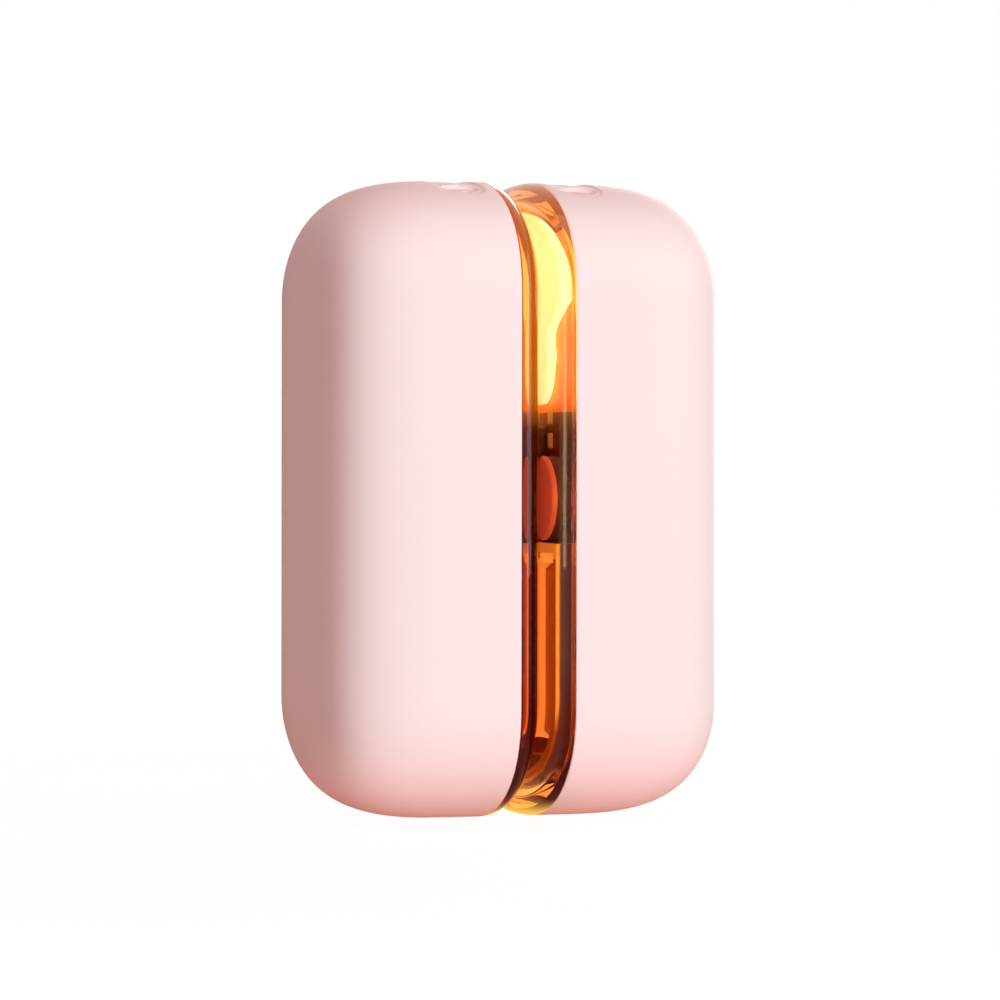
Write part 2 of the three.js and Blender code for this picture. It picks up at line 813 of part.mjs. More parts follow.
function switchPlunger() {
  return rodAlongZ(plungerRadius, recessCentre, 0, plungerTop - plungerLong, plungerTop);
}

// Dished round button with a flange that keeps it in, and a stem that reaches the switch
function powerButton() {
  return turned([
    [0, stemEnd],
    [buttonStemRadius, stemEnd],
    [buttonStemRadius, flangeUnder],
    [buttonFlange, flangeUnder],
    [buttonFlange, flangeTop],
    [buttonRadius, flangeTop],
    [buttonRadius, buttonTop - buttonEdge],
    [buttonRadius - buttonEdge, buttonTop],
    [buttonRadius - 2 * buttonEdge, buttonTop - buttonDish / 4],
    [buttonRadius / 3, buttonTop - buttonDish],
    [0, buttonTop - buttonDish],
  ], recessCentre, 0);
}

// Round light pipe of the charge indicator
function pipeFlangeTop() {
  return endHeight(pipeSpread + pipeFlange, recessDepth + recessFloor) - gap;
}

function pipeBottom() {
  return pipeFlangeTop() - pipeFlangeThick - pipeTail;
}

function indicatorPipe() {
  const top = pipeFlangeTop();
  return turned([
    [0, pipeBottom()],
    [pipeRadius, pipeBottom()],
    [pipeRadius, top - pipeFlangeThick],
    [pipeFlange, top - pipeFlangeThick],
    [pipeFlange, top],
    [pipeRadius, top],
    [pipeRadius, endHeight(pipeSpread, recessDepth) - pipeRadius / 2],
    [0, endHeight(pipeSpread, recessDepth) - pipeRadius / 4],
  ], recessCentre - pipeShift, pipeSpread, smallSteps);
}

function controllerChip() {
  return plate(
    roundedShape(controllerSize, controllerSize, smallCorner),
    partFront - controllerRise, partFront, controllerSpread, partRow,
  );
}

function boostCoil() {
  return plate(
    roundedShape(coilSize, coilSize, coilCorner), partFront - coilRise, partFront, -coilSpread, partRow,
  );
}

function nightLamp() {
  return plate(
    roundedShape(lampSize, lampSize, smallCorner), partFront - lampRise, partFront, 0, unitHeight - lampDrop,
  );
}

// Lead from the cells up to the front of the main board
function batteryLead(place) {
  const y = -leadSpread - place * leadPitch;
  return lead([
    new THREE.Vector3(deckBack, y, cellTop + gap),
    new THREE.Vector3(deckBack, y, cellTop + gap + leadRadius),
    new THREE.Vector3(boardBack + gap, y, bayHeight - gap / 2),
    new THREE.Vector3(boardFront - 2 * leadRadius, y, bayHeight + gap),
    new THREE.Vector3(leadFront, y, boardBottom + leadRadius),
    new THREE.Vector3(leadFront, y, boardBottom + leadRise),
  ], leadRadius);
}

// Flat flex from the socket board, over the cells, to the main board
function socketFlex() {
  const back = partFront - flexThick / 2;
  const front = cellFront - gap - flexThick / 2;
  const lower = socketBoardTop - flexThick / 2;
  const upper = boardBottom + flexThick;
  return strip([
    new THREE.Vector2(back, socketBoardTop - flexLand),
    new THREE.Vector2(back, lower),
    new THREE.Vector2(front, lower),
    new THREE.Vector2(front, upper),
    new THREE.Vector2(back, upper),
    new THREE.Vector2(back, upper + flexLand),
  ], flexThick, flexSpread - flexWide / 2, flexSpread + flexWide / 2);
}

// Pressed tray that carries the heat into the palm side
function heatSpreader() {
  const outer = loft(palmSections(spreaderStart, spreaderOffset));
  const inner = loft(palmSections(spreaderStart - overrun, spreaderOffset + spreaderThick));
  return cut(outer.subtract(inner), screwHoles(bossRadius + gap, spreaderStart - overrun, unitDepth));
}

// Heating film with its tail, folded forwards to the back of the main board
function heaterFilm() {
  const sheet = plate(
    roundedShape(filmWide, filmTall, filmCorner), filmFront, filmBack, 0, filmLift + filmTall / 2,
  );
  const tail = block(
    deckFront, filmBack, filmTailSpread - filmTailWide / 2, filmTailSpread + filmTailWide / 2,
    filmTop - filmThick, filmTop,
  );
  return cut(sheet.add(tail), screwHoles(bossRadius + gap, filmFront - overrun, filmBack + overrun));
}

function thermistor() {
  return plate(
    roundedShape(thermistorWide, thermistorTall, thermistorWide / 2 - smallCorner),
    filmFront - gap - thermistorRise, filmFront - gap, -thermistorSpread, panelBottom,
  );
}

function foamPad() {
  return plate(
    roundedShape(foamWide, foamTall, foamCorner), foamFront, foamBack, 0, (cellTop + cellBottom) / 2,
  );
}

// Flat-headed screw with a square socket in its head
function screw([y, z]) {
  const profile = [
    [0, screwHeadFront],
    [screwHeadRadius, screwHeadFront],
    [screwHeadRadius, screwHeadBack],
    [screwRadius, screwHeadBack],
    [screwRadius, screwEnd - screwRadius],
    [0, screwEnd],
  ];
  const half = screwSocket / 2;
  const socket = block(
    screwHeadFront - overrun, screwHeadFront + screwSocketDepth, y - half, y + half, z - half, z + half,
  );
  return turnedAlongX(profile, y, z, smallSteps).subtract(socket);
}

// Colour, roughness and metalness of each finish
const finishes = {
  softPink: [0xfbe4e2, 0.62, 0],
  amber: [0xf08a1e, 0.06, 0],
  milky: [0xf7f1df, 0.45, 0],
  board: [0x2c4a3a, 0.5, 0],
  chip: [0x26262a, 0.45, 0],
  foil: [0xb9bcc0, 0.35, 0.8],
  steel: [0xc9cbcf, 0.28, 1],
  aluminium: [0xd3d6d8, 0.32, 1],
  film: [0xc9741a, 0.35, 0],
  foam: [0x3a3a3d, 0.95, 0],
  red: [0xb3201c, 0.45, 0],
  black: [0x1b1b1d, 0.45, 0],
  lamp: [0xf4e9b8, 0.3, 0],
  clear: [0xe8eef0, 0.15, 0],
};

const pieces = [
  ['palm_shell', palmShell(), 'softPink'],
  ['clear_cover', clearCover(), 'amber'],
  ['chassis', chassis(), 'milky'],
  ['light_panel', lightPanel(), 'milky'],
  ['main_board', mainBoard(), 'board'],
  ['controller_chip', controllerChip(), 'chip'],
  ['boost_coil', boostCoil(), 'chip'],
  ['night_lamp', nightLamp(), 'lamp'],
  ['socket_board', socketBoard(), 'board'],
  ['socket_shell', socketShell(), 'steel'],
  ['socket_tongue', socketTongue(), 'black'],
  ['socket_flex', socketFlex(), 'film'],
  ['front_cell', cell(cellFront), 'foil'],
  ['rear_cell', cell(rearCellFront), 'foil'],
  ['red_lead', batteryLead(0), 'red'],
  ['black_lead', batteryLead(1), 'black'],
  ['magnet_a', magnet(-1), 'steel'],
  ['magnet_b', magnet(1), 'steel'],
  ['power_button', powerButton(), 'softPink'],
  ['switch_body', switchBody(), 'black'],
  ['switch_plunger', switchPlunger(), 'milky'],
  ['indicator_pipe', indicatorPipe(), 'clear'],
  ['heat_spreader', heatSpreader(), 'aluminium'],
  ['heater_film', heaterFilm(), 'film'],
  ['thermistor', thermistor(), 'black'],
  ['foam_pad', foamPad(), 'foam'],
  ...screwPlaces.map((place, i) => [`screw_${i + 1}`, screw(place), 'steel']),
];

function material(finish) {
  const [color, roughness, metalness] = finishes[finish];
  const clear = finish === 'amber';
  return new THREE.MeshStandardMaterial({
    color, roughness, metalness, transparent: clear, opacity: clear ? 0.5 : 1,
  });
}

const group = new THREE.Group();
for (const [side, turn] of [['left', Math.PI], ['right', 0]]) {
  const unit = new THREE.Group();
  unit.rotation.z = turn;
  for (const [name, body, finish] of pieces) {
    const mesh = new THREE.Mesh(geometryOf(body), material(finish));
    mesh.name = `${side}_${name}`;
    unit.add(mesh);
  }
  group.add(unit);
}

export default group;
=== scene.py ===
import math

import bmesh
import bpy
from mathutils import Matrix, Vector


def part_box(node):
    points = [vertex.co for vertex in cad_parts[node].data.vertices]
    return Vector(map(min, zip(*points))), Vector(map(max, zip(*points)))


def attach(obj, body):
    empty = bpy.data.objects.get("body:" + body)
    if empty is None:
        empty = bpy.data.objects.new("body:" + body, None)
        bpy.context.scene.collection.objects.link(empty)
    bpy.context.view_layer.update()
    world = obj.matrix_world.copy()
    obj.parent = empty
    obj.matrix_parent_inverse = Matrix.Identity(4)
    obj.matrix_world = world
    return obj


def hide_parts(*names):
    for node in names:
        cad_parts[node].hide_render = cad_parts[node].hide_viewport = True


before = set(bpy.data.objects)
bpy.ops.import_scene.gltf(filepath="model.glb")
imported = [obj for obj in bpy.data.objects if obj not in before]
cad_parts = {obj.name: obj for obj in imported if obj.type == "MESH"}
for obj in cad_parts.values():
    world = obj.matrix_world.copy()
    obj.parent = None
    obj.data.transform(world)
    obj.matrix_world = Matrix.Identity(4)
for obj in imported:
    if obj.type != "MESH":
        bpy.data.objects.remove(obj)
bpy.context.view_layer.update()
print("frame loaded:", len(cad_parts), "pieces")

# Both units are alike; the left one is the right one turned half a turn about Z.
# Each piece is drawn in the right unit's place, where X is the distance from the mating plane.
unitTurns = {"left": math.pi, "right": 0.0}

housing = {
    "height": 0.092,
    "width": 0.051,
    "depth": 0.0285,
    "footCut": 0.0002,  # the round lower end is cut flat by this much
    "endCurve": 0.0174,
    "endPower": 2.27,
    "leastCurve": 0.0006,
    "palmInset": 0.0186,
    "palmStart": 0.006,
    "palmPower": 3.63,
    "mateInset": 0.0065,
    "mateRise": 0.0039,
    "wall": 0.0019,
    "fineReach": 0.0166,  # half width of the finely divided upper end
    "fineStep": 0.0002,
    "endSteps": 16,
    "footSteps": 44,
    "sideSteps": 5,
}


mergeReach = 1e-7  # vertices closer than this become one


def quarter(steps):
    # angles of a quarter turn
    return [math.pi / 2 * i / steps for i in range(steps + 1)]


def outlineStations():
    # places round the outline, from the +Y side over the top, down the -Y side and back along the foot
    half, power = housing["width"] / 2, housing["endPower"]
    reach, step = housing["fineReach"], housing["fineStep"]
    first = math.acos((reach / half) ** (power / 2))
    angles = [first * i / housing["endSteps"] for i in range(housing["endSteps"])]
    count = round(2 * reach / step)
    for i in range(count + 1):
        y = reach - i * step
        angles.append(math.acos(math.copysign(abs(y / half) ** (power / 2), y)))
    angles += [math.pi - first * (1 - i / housing["endSteps"])
               for i in range(1, housing["endSteps"] + 1)]
    parts = [(i + 1) / (housing["sideSteps"] + 1) for i in range(housing["sideSteps"])]
    stations = [("end", 1, angle) for angle in angles]
    stations += [("side", -1, 1 - 2 * part) for part in parts]
    foot = housing["footSteps"]
    stations += [("end", -1, math.pi * (1 - i / foot)) for i in range(foot + 1)]
    stations += [("side", 1, 2 * part - 1) for part in parts]
    return stations


def outlinePlace(station, inset):
    # width and height of a station when the outline is moved inwards by the inset
    kind, end, part = station
    half = housing["width"] / 2 - inset
    tall = (housing["height"] + housing["footCut"]) / 2 - inset
    curve = max(housing["endCurve"] - inset, housing["leastCurve"])
    power = 2 / housing["endPower"]
    middle = (housing["height"] - housing["footCut"]) / 2
    if kind == "side":
        return end * half, middle + (tall - curve) * part
    across, along = math.cos(part), max(math.sin(part), 0.0)
    y = math.copysign(half * abs(across) ** power, across)
    return y, middle + end * (tall - curve + curve * along ** power)


def palmInsetAt(x, offset):
    base = housing["palmStart"] - offset
    rise = housing["depth"] - housing["palmStart"]
    part = min(max((x - base) / rise, 0.0), 1.0)
    power = housing["palmPower"]
    return offset + housing["palmInset"] * (1 - (1 - part ** power) ** (1 / power))


def palmCurve(start, offset, steps):
    # the pillowed side from a distance to its crown: pairs of distance and inset
    base = housing["palmStart"] - offset
    rise = housing["depth"] - housing["palmStart"]
    power = housing["palmPower"]
    first = math.asin(max((start - base) / rise, 0.0) ** (power / 2))
    curve = []
    for i in range(steps + 1):
        angle = first + (math.pi / 2 - first) * i / steps
        x = base + rise * math.sin(angle) ** (2 / power)
        inset = offset + housing["palmInset"] * (1 - max(math.cos(angle), 0.0) ** (2 / power))
        curve.append((x, inset))
    return curve


def mateCurve(face, rise, inset, offset, last, steps):
    # the rounding of the mating side, from its flat face outwards
    curve = []
    for i in range(steps + 1):
        angle = last * i / steps
        curve.append((face + rise * (1 - math.cos(angle)),
                      offset + inset * (1 - math.sin(angle))))
    return curve


def wrapped(stations, profile, place):
    # a grid bent round the outline: its columns follow the stations and its rows the profile
    mesh = bmesh.new()
    columns, rows = len(stations), len(profile)
    bmesh.ops.create_grid(mesh, x_segments=columns, y_segments=rows - 1, size=1)
    for vert in mesh.verts:
        column = round((vert.co.x + 1) / 2 * columns) % columns
        row = round((vert.co.y + 1) / 2 * (rows - 1))
        vert.co = place(stations[column], profile[row])
    bmesh.ops.remove_doubles(mesh, verts=mesh.verts, dist=mergeReach)
    bmesh.ops.holes_fill(mesh, edges=mesh.edges, sides=0)
    bmesh.ops.recalc_face_normals(mesh, faces=mesh.faces)
    return mesh


def rod(radius, low, high, x, y, steps=96, stretch=0.0):
    # upright rod; a stretch along Y makes it oblong
    mesh = bmesh.new()
    turn = Matrix.Rotation(math.pi / steps, 4, "Z")
    bmesh.ops.create_cone(mesh, cap_ends=True, segments=steps, radius1=radius, radius2=radius,
                          depth=high - low, matrix=turn)
    for vert in mesh.verts:
        vert.co.y += math.copysign(stretch / 2, vert.co.y)
    bmesh.ops.translate(mesh, verts=mesh.verts, vec=(x, y, (low + high) / 2))
    return mesh


def turned(profile, centre, steps=64, lying=False):
    # a profile of radius and height pairs turned about an upright axis, or about one along X
    mesh = bmesh.new()
    points = [mesh.verts.new((along, 0, radius) if lying else (radius, 0, along))
              for radius, along in profile]
    lines = [mesh.edges.new(pair) for pair in zip(points, points[1:])]
    bmesh.ops.spin(mesh, geom=points + lines, cent=(0, 0, 0),
                   axis=(1, 0, 0) if lying else (0, 0, 1),
                   angle=2 * math.pi, steps=steps, use_merge=True)
    bmesh.ops.remove_doubles(mesh, verts=mesh.verts, dist=mergeReach)
    bmesh.ops.recalc_face_normals(mesh, faces=mesh.faces)
    bmesh.ops.translate(mesh, verts=mesh.verts, vec=centre)
    return mesh


def block(low, high, soft=0.0):
    # box between two corners, with its edges rounded
    mesh = bmesh.new()
    bmesh.ops.create_cube(mesh, size=1)
    bmesh.ops.scale(mesh, verts=mesh.verts, vec=[b - a for a, b in zip(low, high)])
    bmesh.ops.translate(mesh, verts=mesh.verts, vec=[(a + b) / 2 for a, b in zip(low, high)])
    if soft:
        bmesh.ops.bevel(mesh, geom=mesh.edges, offset=soft, segments=2, profile=0.5,
                        affect="EDGES", material=-1)
    return mesh


def gathered(parts):
    # several meshes as one
    whole = bmesh.new()
    for part in parts:
        data = bpy.data.meshes.new("part")
        part.to_mesh(data)
        part.free()
        whole.from_mesh(data)
        bpy.data.meshes.remove(data)
    return whole


def carved(mesh, cutters):
    # cuts the cutters out of a closed mesh
    holders = []
    for part in [mesh] + cutters:
        data = bpy.data.meshes.new("holder")
        part.to_mesh(data)
        part.free()
        holder = bpy.data.objects.new("holder", data)
        bpy.context.scene.collection.objects.link(holder)
        holders.append(holder)
    for tool in holders[1:]:
        cut = holders[0].modifiers.new("cut", "BOOLEAN")
        cut.object = tool
        cut.solver = "EXACT"
    bpy.context.view_layer.update()
    shaped = holders[0].evaluated_get(bpy.context.evaluated_depsgraph_get())
    result = bmesh.new()
    result.from_mesh(shaped.to_mesh())
    shaped.to_mesh_clear()
    for holder in holders:
        data = holder.data
        bpy.data.objects.remove(holder)
        bpy.data.meshes.remove(data)
    return result


def finish(mesh, side, name, body, material, slot, nodes=(), sharp=35):
    # turns a mesh into its unit's place and makes it a piece that rides on a body
    bmesh.ops.rotate(mesh, verts=mesh.verts, cent=(0, 0, 0),
                     matrix=Matrix.Rotation(unitTurns[side], 3, "Z"))
    for face in mesh.faces:
        face.smooth = True
    data = bpy.data.meshes.new(f"{side}_{name}")
    mesh.to_mesh(data)
    mesh.free()
    data.set_sharp_from_angle(angle=math.radians(sharp))
    data.materials.append(material)
    piece = bpy.data.objects.new(f"{side}_{name}", data)
    bpy.context.scene.collection.objects.link(piece)
    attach(piece, body)
    if nodes:
        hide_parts(*[f"{side}_{node}" for node in nodes])
    return piece


class Wire:
    # a socket of a finish, with plain arithmetic
    def __init__(self, finish, socket):
        self.finish, self.socket = finish, socket

    def maths(self, operation, first, second):
        return self.finish.add("ShaderNodeMath", {"operation": operation}, {0: first, 1: second})

    def __add__(self, other):
        return self.maths("ADD", self, other)

    def __radd__(self, other):
        return self.maths("ADD", other, self)

    def __sub__(self, other):
        return self.maths("SUBTRACT", self, other)

    def __rsub__(self, other):
        return self.maths("SUBTRACT", other, self)

    def __mul__(self, other):
        return self.maths("MULTIPLY", self, other)

    def __rmul__(self, other):
        return self.maths("MULTIPLY", other, self)

    def __abs__(self):
        return self.finish.add("ShaderNodeMath", {"operation": "ABSOLUTE"}, {0: self})

    def most(self, other):
        # the greater of the two
        return self.maths("MAXIMUM", self, other)

    def above(self, level):
        return self.maths("GREATER_THAN", self, level)

    def below(self, level):
        return self.maths("LESS_THAN", self, level)


class Finish:
    # the nodes of a material or of the world
    def __init__(self, owner):
        owner.use_nodes = True
        self.owner = owner
        self.tree = owner.node_tree
        self.tree.nodes.clear()

    def add(self, kind, settings=None, sockets=None, output=0):
        # any node: its type, its settings, and the values or links of its sockets
        node = self.tree.nodes.new(kind)
        for key, value in (settings or {}).items():
            setattr(node, key, value)
        for key, value in (sockets or {}).items():
            if isinstance(value, Wire):
                self.tree.links.new(value.socket, node.inputs[key])
            else:
                node.inputs[key].default_value = value
        return Wire(self, node.outputs[output]) if node.outputs else None

    def place(self):
        return self.add("ShaderNodeTexCoord", output="Object")

    def noise(self, scale, detail=2.0, roughness=0.5):
        return self.add("ShaderNodeTexNoise", {}, {
            "Vector": self.place(), "Scale": scale, "Detail": detail, "Roughness": roughness,
        })

    def streaks(self, scale, detail=2.0):
        # noise drawn out along an axis
        return self.add("ShaderNodeTexNoise", {}, {
            "Vector": self.add("ShaderNodeMapping", {}, {"Vector": self.place(), "Scale": scale}),
            "Scale": 1.0, "Detail": detail,
        })

    def blend(self, factor, first, second):
        # the first colour where the factor is 0, the second where it is 1
        return self.add("ShaderNodeMix", {"data_type": "RGBA"}, {
            0: factor, 6: first, 7: second,
        }, output=2)

    def bump(self, height, strength, distance):
        return self.add("ShaderNodeBump", {}, {
            "Height": height, "Strength": strength, "Distance": distance,
        })

    def axis(self, name):
        # one coordinate of the place on the piece
        return self.add("ShaderNodeSeparateXYZ", {}, {0: self.place()}, output="XYZ".index(name))

    def ramp(self, value, low, high):
        # 0 below the low level, 1 above the high one, smooth between
        return self.add("ShaderNodeMapRange", {"interpolation_type": "SMOOTHSTEP"}, {
            "Value": value, "From Min": low, "From Max": high,
        })

    def close(self, sockets, volume=None):
        ends = {"Surface": self.add("ShaderNodeBsdfPrincipled", {}, sockets)}
        if volume:
            ends["Volume"] = volume
        self.add("ShaderNodeOutputMaterial", {}, ends)
        return self.owner


def rgb(text):
    # linear colour of a written sRGB one
    values = [int(text[i:i + 2], 16) / 255 for i in (0, 2, 4)]
    return tuple(v / 12.92 if v <= 0.04045 else ((v + 0.055) / 1.055) ** 2.4 for v in values) + (1.0,)


def softPink():
    look = {
        "colour": "fbe4e1",
        "shade": "fae0dd",
        "patch": 22,
        "patchDetail": 3.0,
        "grain": 5200,
        "grainStrength": 0.12,
        "grainDepth": 0.00001,
        "rough": 0.55,
        "roughSpread": 0.08,
        "shine": 0.1,
    }
    paint = Finish(bpy.data.materials.new("softPink"))
    cloud = paint.noise(look["patch"], look["patchDetail"])
    grain = paint.noise(look["grain"])
    return paint.close({
        "Base Color": paint.blend(cloud, rgb(look["colour"]), rgb(look["shade"])),
        "Roughness": grain * look["roughSpread"] + look["rough"],
        "Normal": paint.bump(grain, look["grainStrength"], look["grainDepth"]),
        "Specular IOR Level": look["shine"],
    })


def clearAmber():
    # clear resin with a painted glow all over: a painted lamp glow at the upper end, a painted floor
    # glow at the foot, and a dim painted glow between
    look = {
        "tint": "ffeccc",
        "tintDeep": "ffe6bc",
        "patch": 60,
        "scuff": 900,
        "scuffDetail": 3.0,
        "scuffRough": 0.02,
        "absorb": (0.99, 0.62, 0.2, 1.0),
        "density": 200,
        "ior": 1.3,
        # colours of the painted glow: lamp glow at the upper end, dim glow between, floor glow at the
        # foot
        "glow": "6b4a06",
        "paintedLowerGlow": "210201",
        "glowFrom": 0.055,
        "glowTo": 0.061,
        "foot": "ffd050",
        "footFrom": 0.0034,
        "footTo": 0.0004,
        "glowStrength": 0.5,
    }
    resin = Finish(bpy.data.materials.new("clearAmber"))
    cloud = resin.noise(look["patch"], 1.0)
    scuff = resin.noise(look["scuff"], look["scuffDetail"])
    # painted glow: the lamp's at the upper end, the floor's at the foot, a dim one between
    lit = resin.ramp(resin.axis("Z"), look["glowFrom"], look["glowTo"])
    low = resin.ramp(resin.axis("Z"), look["footFrom"], look["footTo"])
    paintedLowerGlow = resin.blend(low, rgb(look["paintedLowerGlow"]), rgb(look["foot"]))
    volume = resin.add("ShaderNodeVolumeAbsorption", {}, {
        "Color": look["absorb"], "Density": look["density"],
    })
    return resin.close({
        "Base Color": resin.blend(cloud, rgb(look["tint"]), rgb(look["tintDeep"])),
        "Roughness": scuff * look["scuffRough"],
        "Transmission Weight": 1.0,
        "IOR": look["ior"],
        "Emission Color": resin.blend(lit, paintedLowerGlow, rgb(look["glow"])),
        "Emission Strength": look["glowStrength"],
    }, volume)


moulding = {
    "patch": 70,
    "patchDetail": 3.0,
    "grain": 2600,
    "grainStrength": 0.15,
    "grainDepth": 0.00001,
    "rough": 0.34,
    "roughSpread": 0.12,
}


def mouldedGrain(resin, rough=moulding["rough"]):
    # roughness and fine bumps of a moulded face
    grain = resin.noise(moulding["grain"])
    return {
        "Roughness": grain * moulding["roughSpread"] + rough,
        "Normal": resin.bump(grain, moulding["grainStrength"], moulding["grainDepth"]),
    }


def milkyPlastic(name, colour, shade, glow=0.0):
    resin = Finish(bpy.data.materials.new(name))
    cloud = resin.noise(moulding["patch"], moulding["patchDetail"])
    body = resin.blend(cloud, rgb(colour), rgb(shade))
    sockets = {"Base Color": body, **mouldedGrain(resin)}
    if glow:
        sockets["Emission Color"] = body
        sockets["Emission Strength"] = glow
    return resin.close(sockets)


def lampPanelFinish():
    # lit diffuser with rows of faint dots on its face and a paler rim
    look = {
        "face": "ffe2cc",
        "dot": "fff0dc",
        "rim": "fff6f0",
        "dotPitch": 0.0012,
        "dotInside": 0.2,
        "dotOutside": 0.34,
        "faceEnd": 0.0031,
        "rimStart": 0.0037,
        "glow": 1.35,
    }
    panel = Finish(bpy.data.materials.new("lampPanel"))
    flat = panel.add("ShaderNodeCombineXYZ", {}, {"X": panel.axis("Y"), "Y": panel.axis("Z")})
    spacing = panel.add("ShaderNodeTexVoronoi", {"voronoi_dimensions": "2D"}, {
        "Vector": flat, "Scale": 1 / look["dotPitch"], "Randomness": 0.0,
    }, output="Distance")
    between = panel.ramp(spacing, look["dotInside"], look["dotOutside"])
    face = panel.blend(between, rgb(look["dot"]), rgb(look["face"]))
    onRim = panel.ramp(abs(panel.axis("X")), look["faceEnd"], look["rimStart"])
    body = panel.blend(onRim, face, rgb(look["rim"]))
    return panel.close({
        "Base Color": body,
        "Emission Color": body,
        "Emission Strength": look["glow"],
        **mouldedGrain(panel),
    })


def circuitBoard():
    # dark red solder mask with fine tracks, painted orange lamplight over its upper part, and pale
    # chips in front
    look = {
        "mask": "4c2016",
        "maskDeep": "3c1810",
        "track": "7c4028",
        "paintedLamplight": "ff9626",
        "paintedLamplightDeep": "ff8a1e",
        "lamplightFrom": 0.0585,
        "chip": "f0dcc8",
        "chipDeep": "d9c2ac",
        "chipFace": 0.00572,
        "trackScale": 420.0,
        "trackWide": 0.035,
        "trackOffset": 0.37,
        "patch": 300,
        "rough": 0.3,
        "roughSpread": 0.2,
        "bumpStrength": 0.1,
        "bumpDepth": 0.00002,
    }
    board = Finish(bpy.data.materials.new("circuitBoard"))
    facing = board.add("ShaderNodeMapping", {}, {
        "Vector": board.place(), "Rotation": (0.0, math.pi / 2, 0.0),
    })
    tracks = board.add("ShaderNodeTexBrick", {"offset": look["trackOffset"]}, {
        "Vector": facing, "Scale": look["trackScale"], "Mortar Size": look["trackWide"],
        "Color1": rgb(look["mask"]), "Color2": rgb(look["maskDeep"]), "Mortar": rgb(look["track"]),
    })
    cloud = board.noise(look["patch"])
    # painted orange lamplight from the lamp panel over the upper part of the board
    lamplight = board.blend(cloud, rgb(look["paintedLamplight"]), rgb(look["paintedLamplightDeep"]))
    mask = board.blend(board.axis("Z").above(look["lamplightFrom"]), tracks, lamplight)
    chip = board.blend(cloud, rgb(look["chip"]), rgb(look["chipDeep"]))
    return board.close({
        "Base Color": board.blend(abs(board.axis("X")).below(look["chipFace"]), mask, chip),
        "Roughness": cloud * look["roughSpread"] + look["rough"],
        "Normal": board.bump(cloud, look["bumpStrength"], look["bumpDepth"]),
    })


def mouldedBlack(name, colour, shade):
    look = {
        "grain": 3200,
        "grainDetail": 3.0,
        "grainStrength": 0.2,
        "grainDepth": 0.00001,
        "rough": 0.35,
        "roughSpread": 0.2,
    }
    resin = Finish(bpy.data.materials.new(name))
    grain = resin.noise(look["grain"], look["grainDetail"])
    return resin.close({
        "Base Color": resin.blend(grain, rgb(colour), rgb(shade)),
        "Roughness": grain * look["roughSpread"] + look["rough"],
        "Normal": resin.bump(grain, look["grainStrength"], look["grainDepth"]),
    })


def plated(name, colour, shade, rough, brushed=0.0):
    look = {
        "patch": 500,
        "patchDetail": 4.0,
        "roughSpread": 0.15,
        "brushScale": (400.0, 8000.0, 200.0),
        "brushDepth": 0.000005,
    }
    metal = Finish(bpy.data.materials.new(name))
    cloud = metal.noise(look["patch"], look["patchDetail"])
    sockets = {
        "Base Color": metal.blend(cloud, rgb(colour), rgb(shade)),
        "Metallic": 1.0,
        "Roughness": cloud * look["roughSpread"] + rough,
    }
    if brushed:
        sockets["Normal"] = metal.bump(metal.streaks(look["brushScale"]), brushed, look["brushDepth"])
    return metal.close(sockets)


def magnetCoat():
    # red lacquered face and a dark colour beyond it, with a painted glow over both
    look = {
        "face": "ec7a72",
        "faceDeep": "de6a5c",
        "faceEnd": 0.0034,
        "cup": "4a2620",
        "cupDeep": "5c3028",
        "patch": 420,
        "patchDetail": 4.0,
        "brushScale": (100.0, 2600.0, 60.0),
        "metal": 0.1,
        "rough": 0.35,
        "roughSpread": 0.2,
        "glow": 0.2,
    }
    coat = Finish(bpy.data.materials.new("magnetCoat"))
    cloud = coat.noise(look["patch"], look["patchDetail"])
    lines = coat.streaks(look["brushScale"])
    face = coat.blend(lines, rgb(look["face"]), rgb(look["faceDeep"]))
    cup = coat.blend(cloud, rgb(look["cup"]), rgb(look["cupDeep"]))
    body = coat.blend(abs(coat.axis("X")).below(look["faceEnd"]), cup, face)
    return coat.close({
        "Base Color": body,
        "Metallic": look["metal"],
        "Roughness": cloud * look["roughSpread"] + look["rough"],
        # painted glow that lightens the whole magnet
        "Emission Color": body,
        "Emission Strength": look["glow"],
    })


def bayPlastic():
    # cell bay: a painted light line round its rim, painted shade on the faces inside that and below
    # it, and a painted glow over all
    look = {
        "rim": "ffc068",
        "litRimDeep": "ffb058",
        "wall": "561e0c",
        "shadedWallDeep": "48180a",
        "litRimEnd": 0.0032,
        "shadeStart": 0.0036,
        "rough": 0.3,
        "inner": "a04c1c",
        "litLineStart": 0.0203,
        "litLineEnd": 0.021,
        "litTopStart": 0.0374,
        "litTopEnd": 0.0378,
        "glow": 0.3,
    }
    bay = Finish(bpy.data.materials.new("bayPlastic"))
    cloud = bay.noise(moulding["patch"], moulding["patchDetail"])
    rim = bay.blend(cloud, rgb(look["rim"]), rgb(look["litRimDeep"]))
    wall = bay.blend(cloud, rgb(look["wall"]), rgb(look["shadedWallDeep"]))
    # painted light line along the outer sides and the top, with painted shade on the face inside it
    litLine = bay.ramp(abs(bay.axis("Y")), look["litLineStart"], look["litLineEnd"])
    litLine = litLine.most(bay.ramp(bay.axis("Z"), look["litTopStart"], look["litTopEnd"]))
    front = bay.blend(litLine, rgb(look["inner"]), rim)
    # painted shade on the faces further from the mating plane
    body = bay.blend(bay.ramp(abs(bay.axis("X")), look["litRimEnd"], look["shadeStart"]), front, wall)
    return bay.close({
        "Base Color": body,
        # painted glow over the whole bay
        "Emission Color": body,
        "Emission Strength": look["glow"],
        **mouldedGrain(bay, look["rough"]),
    })


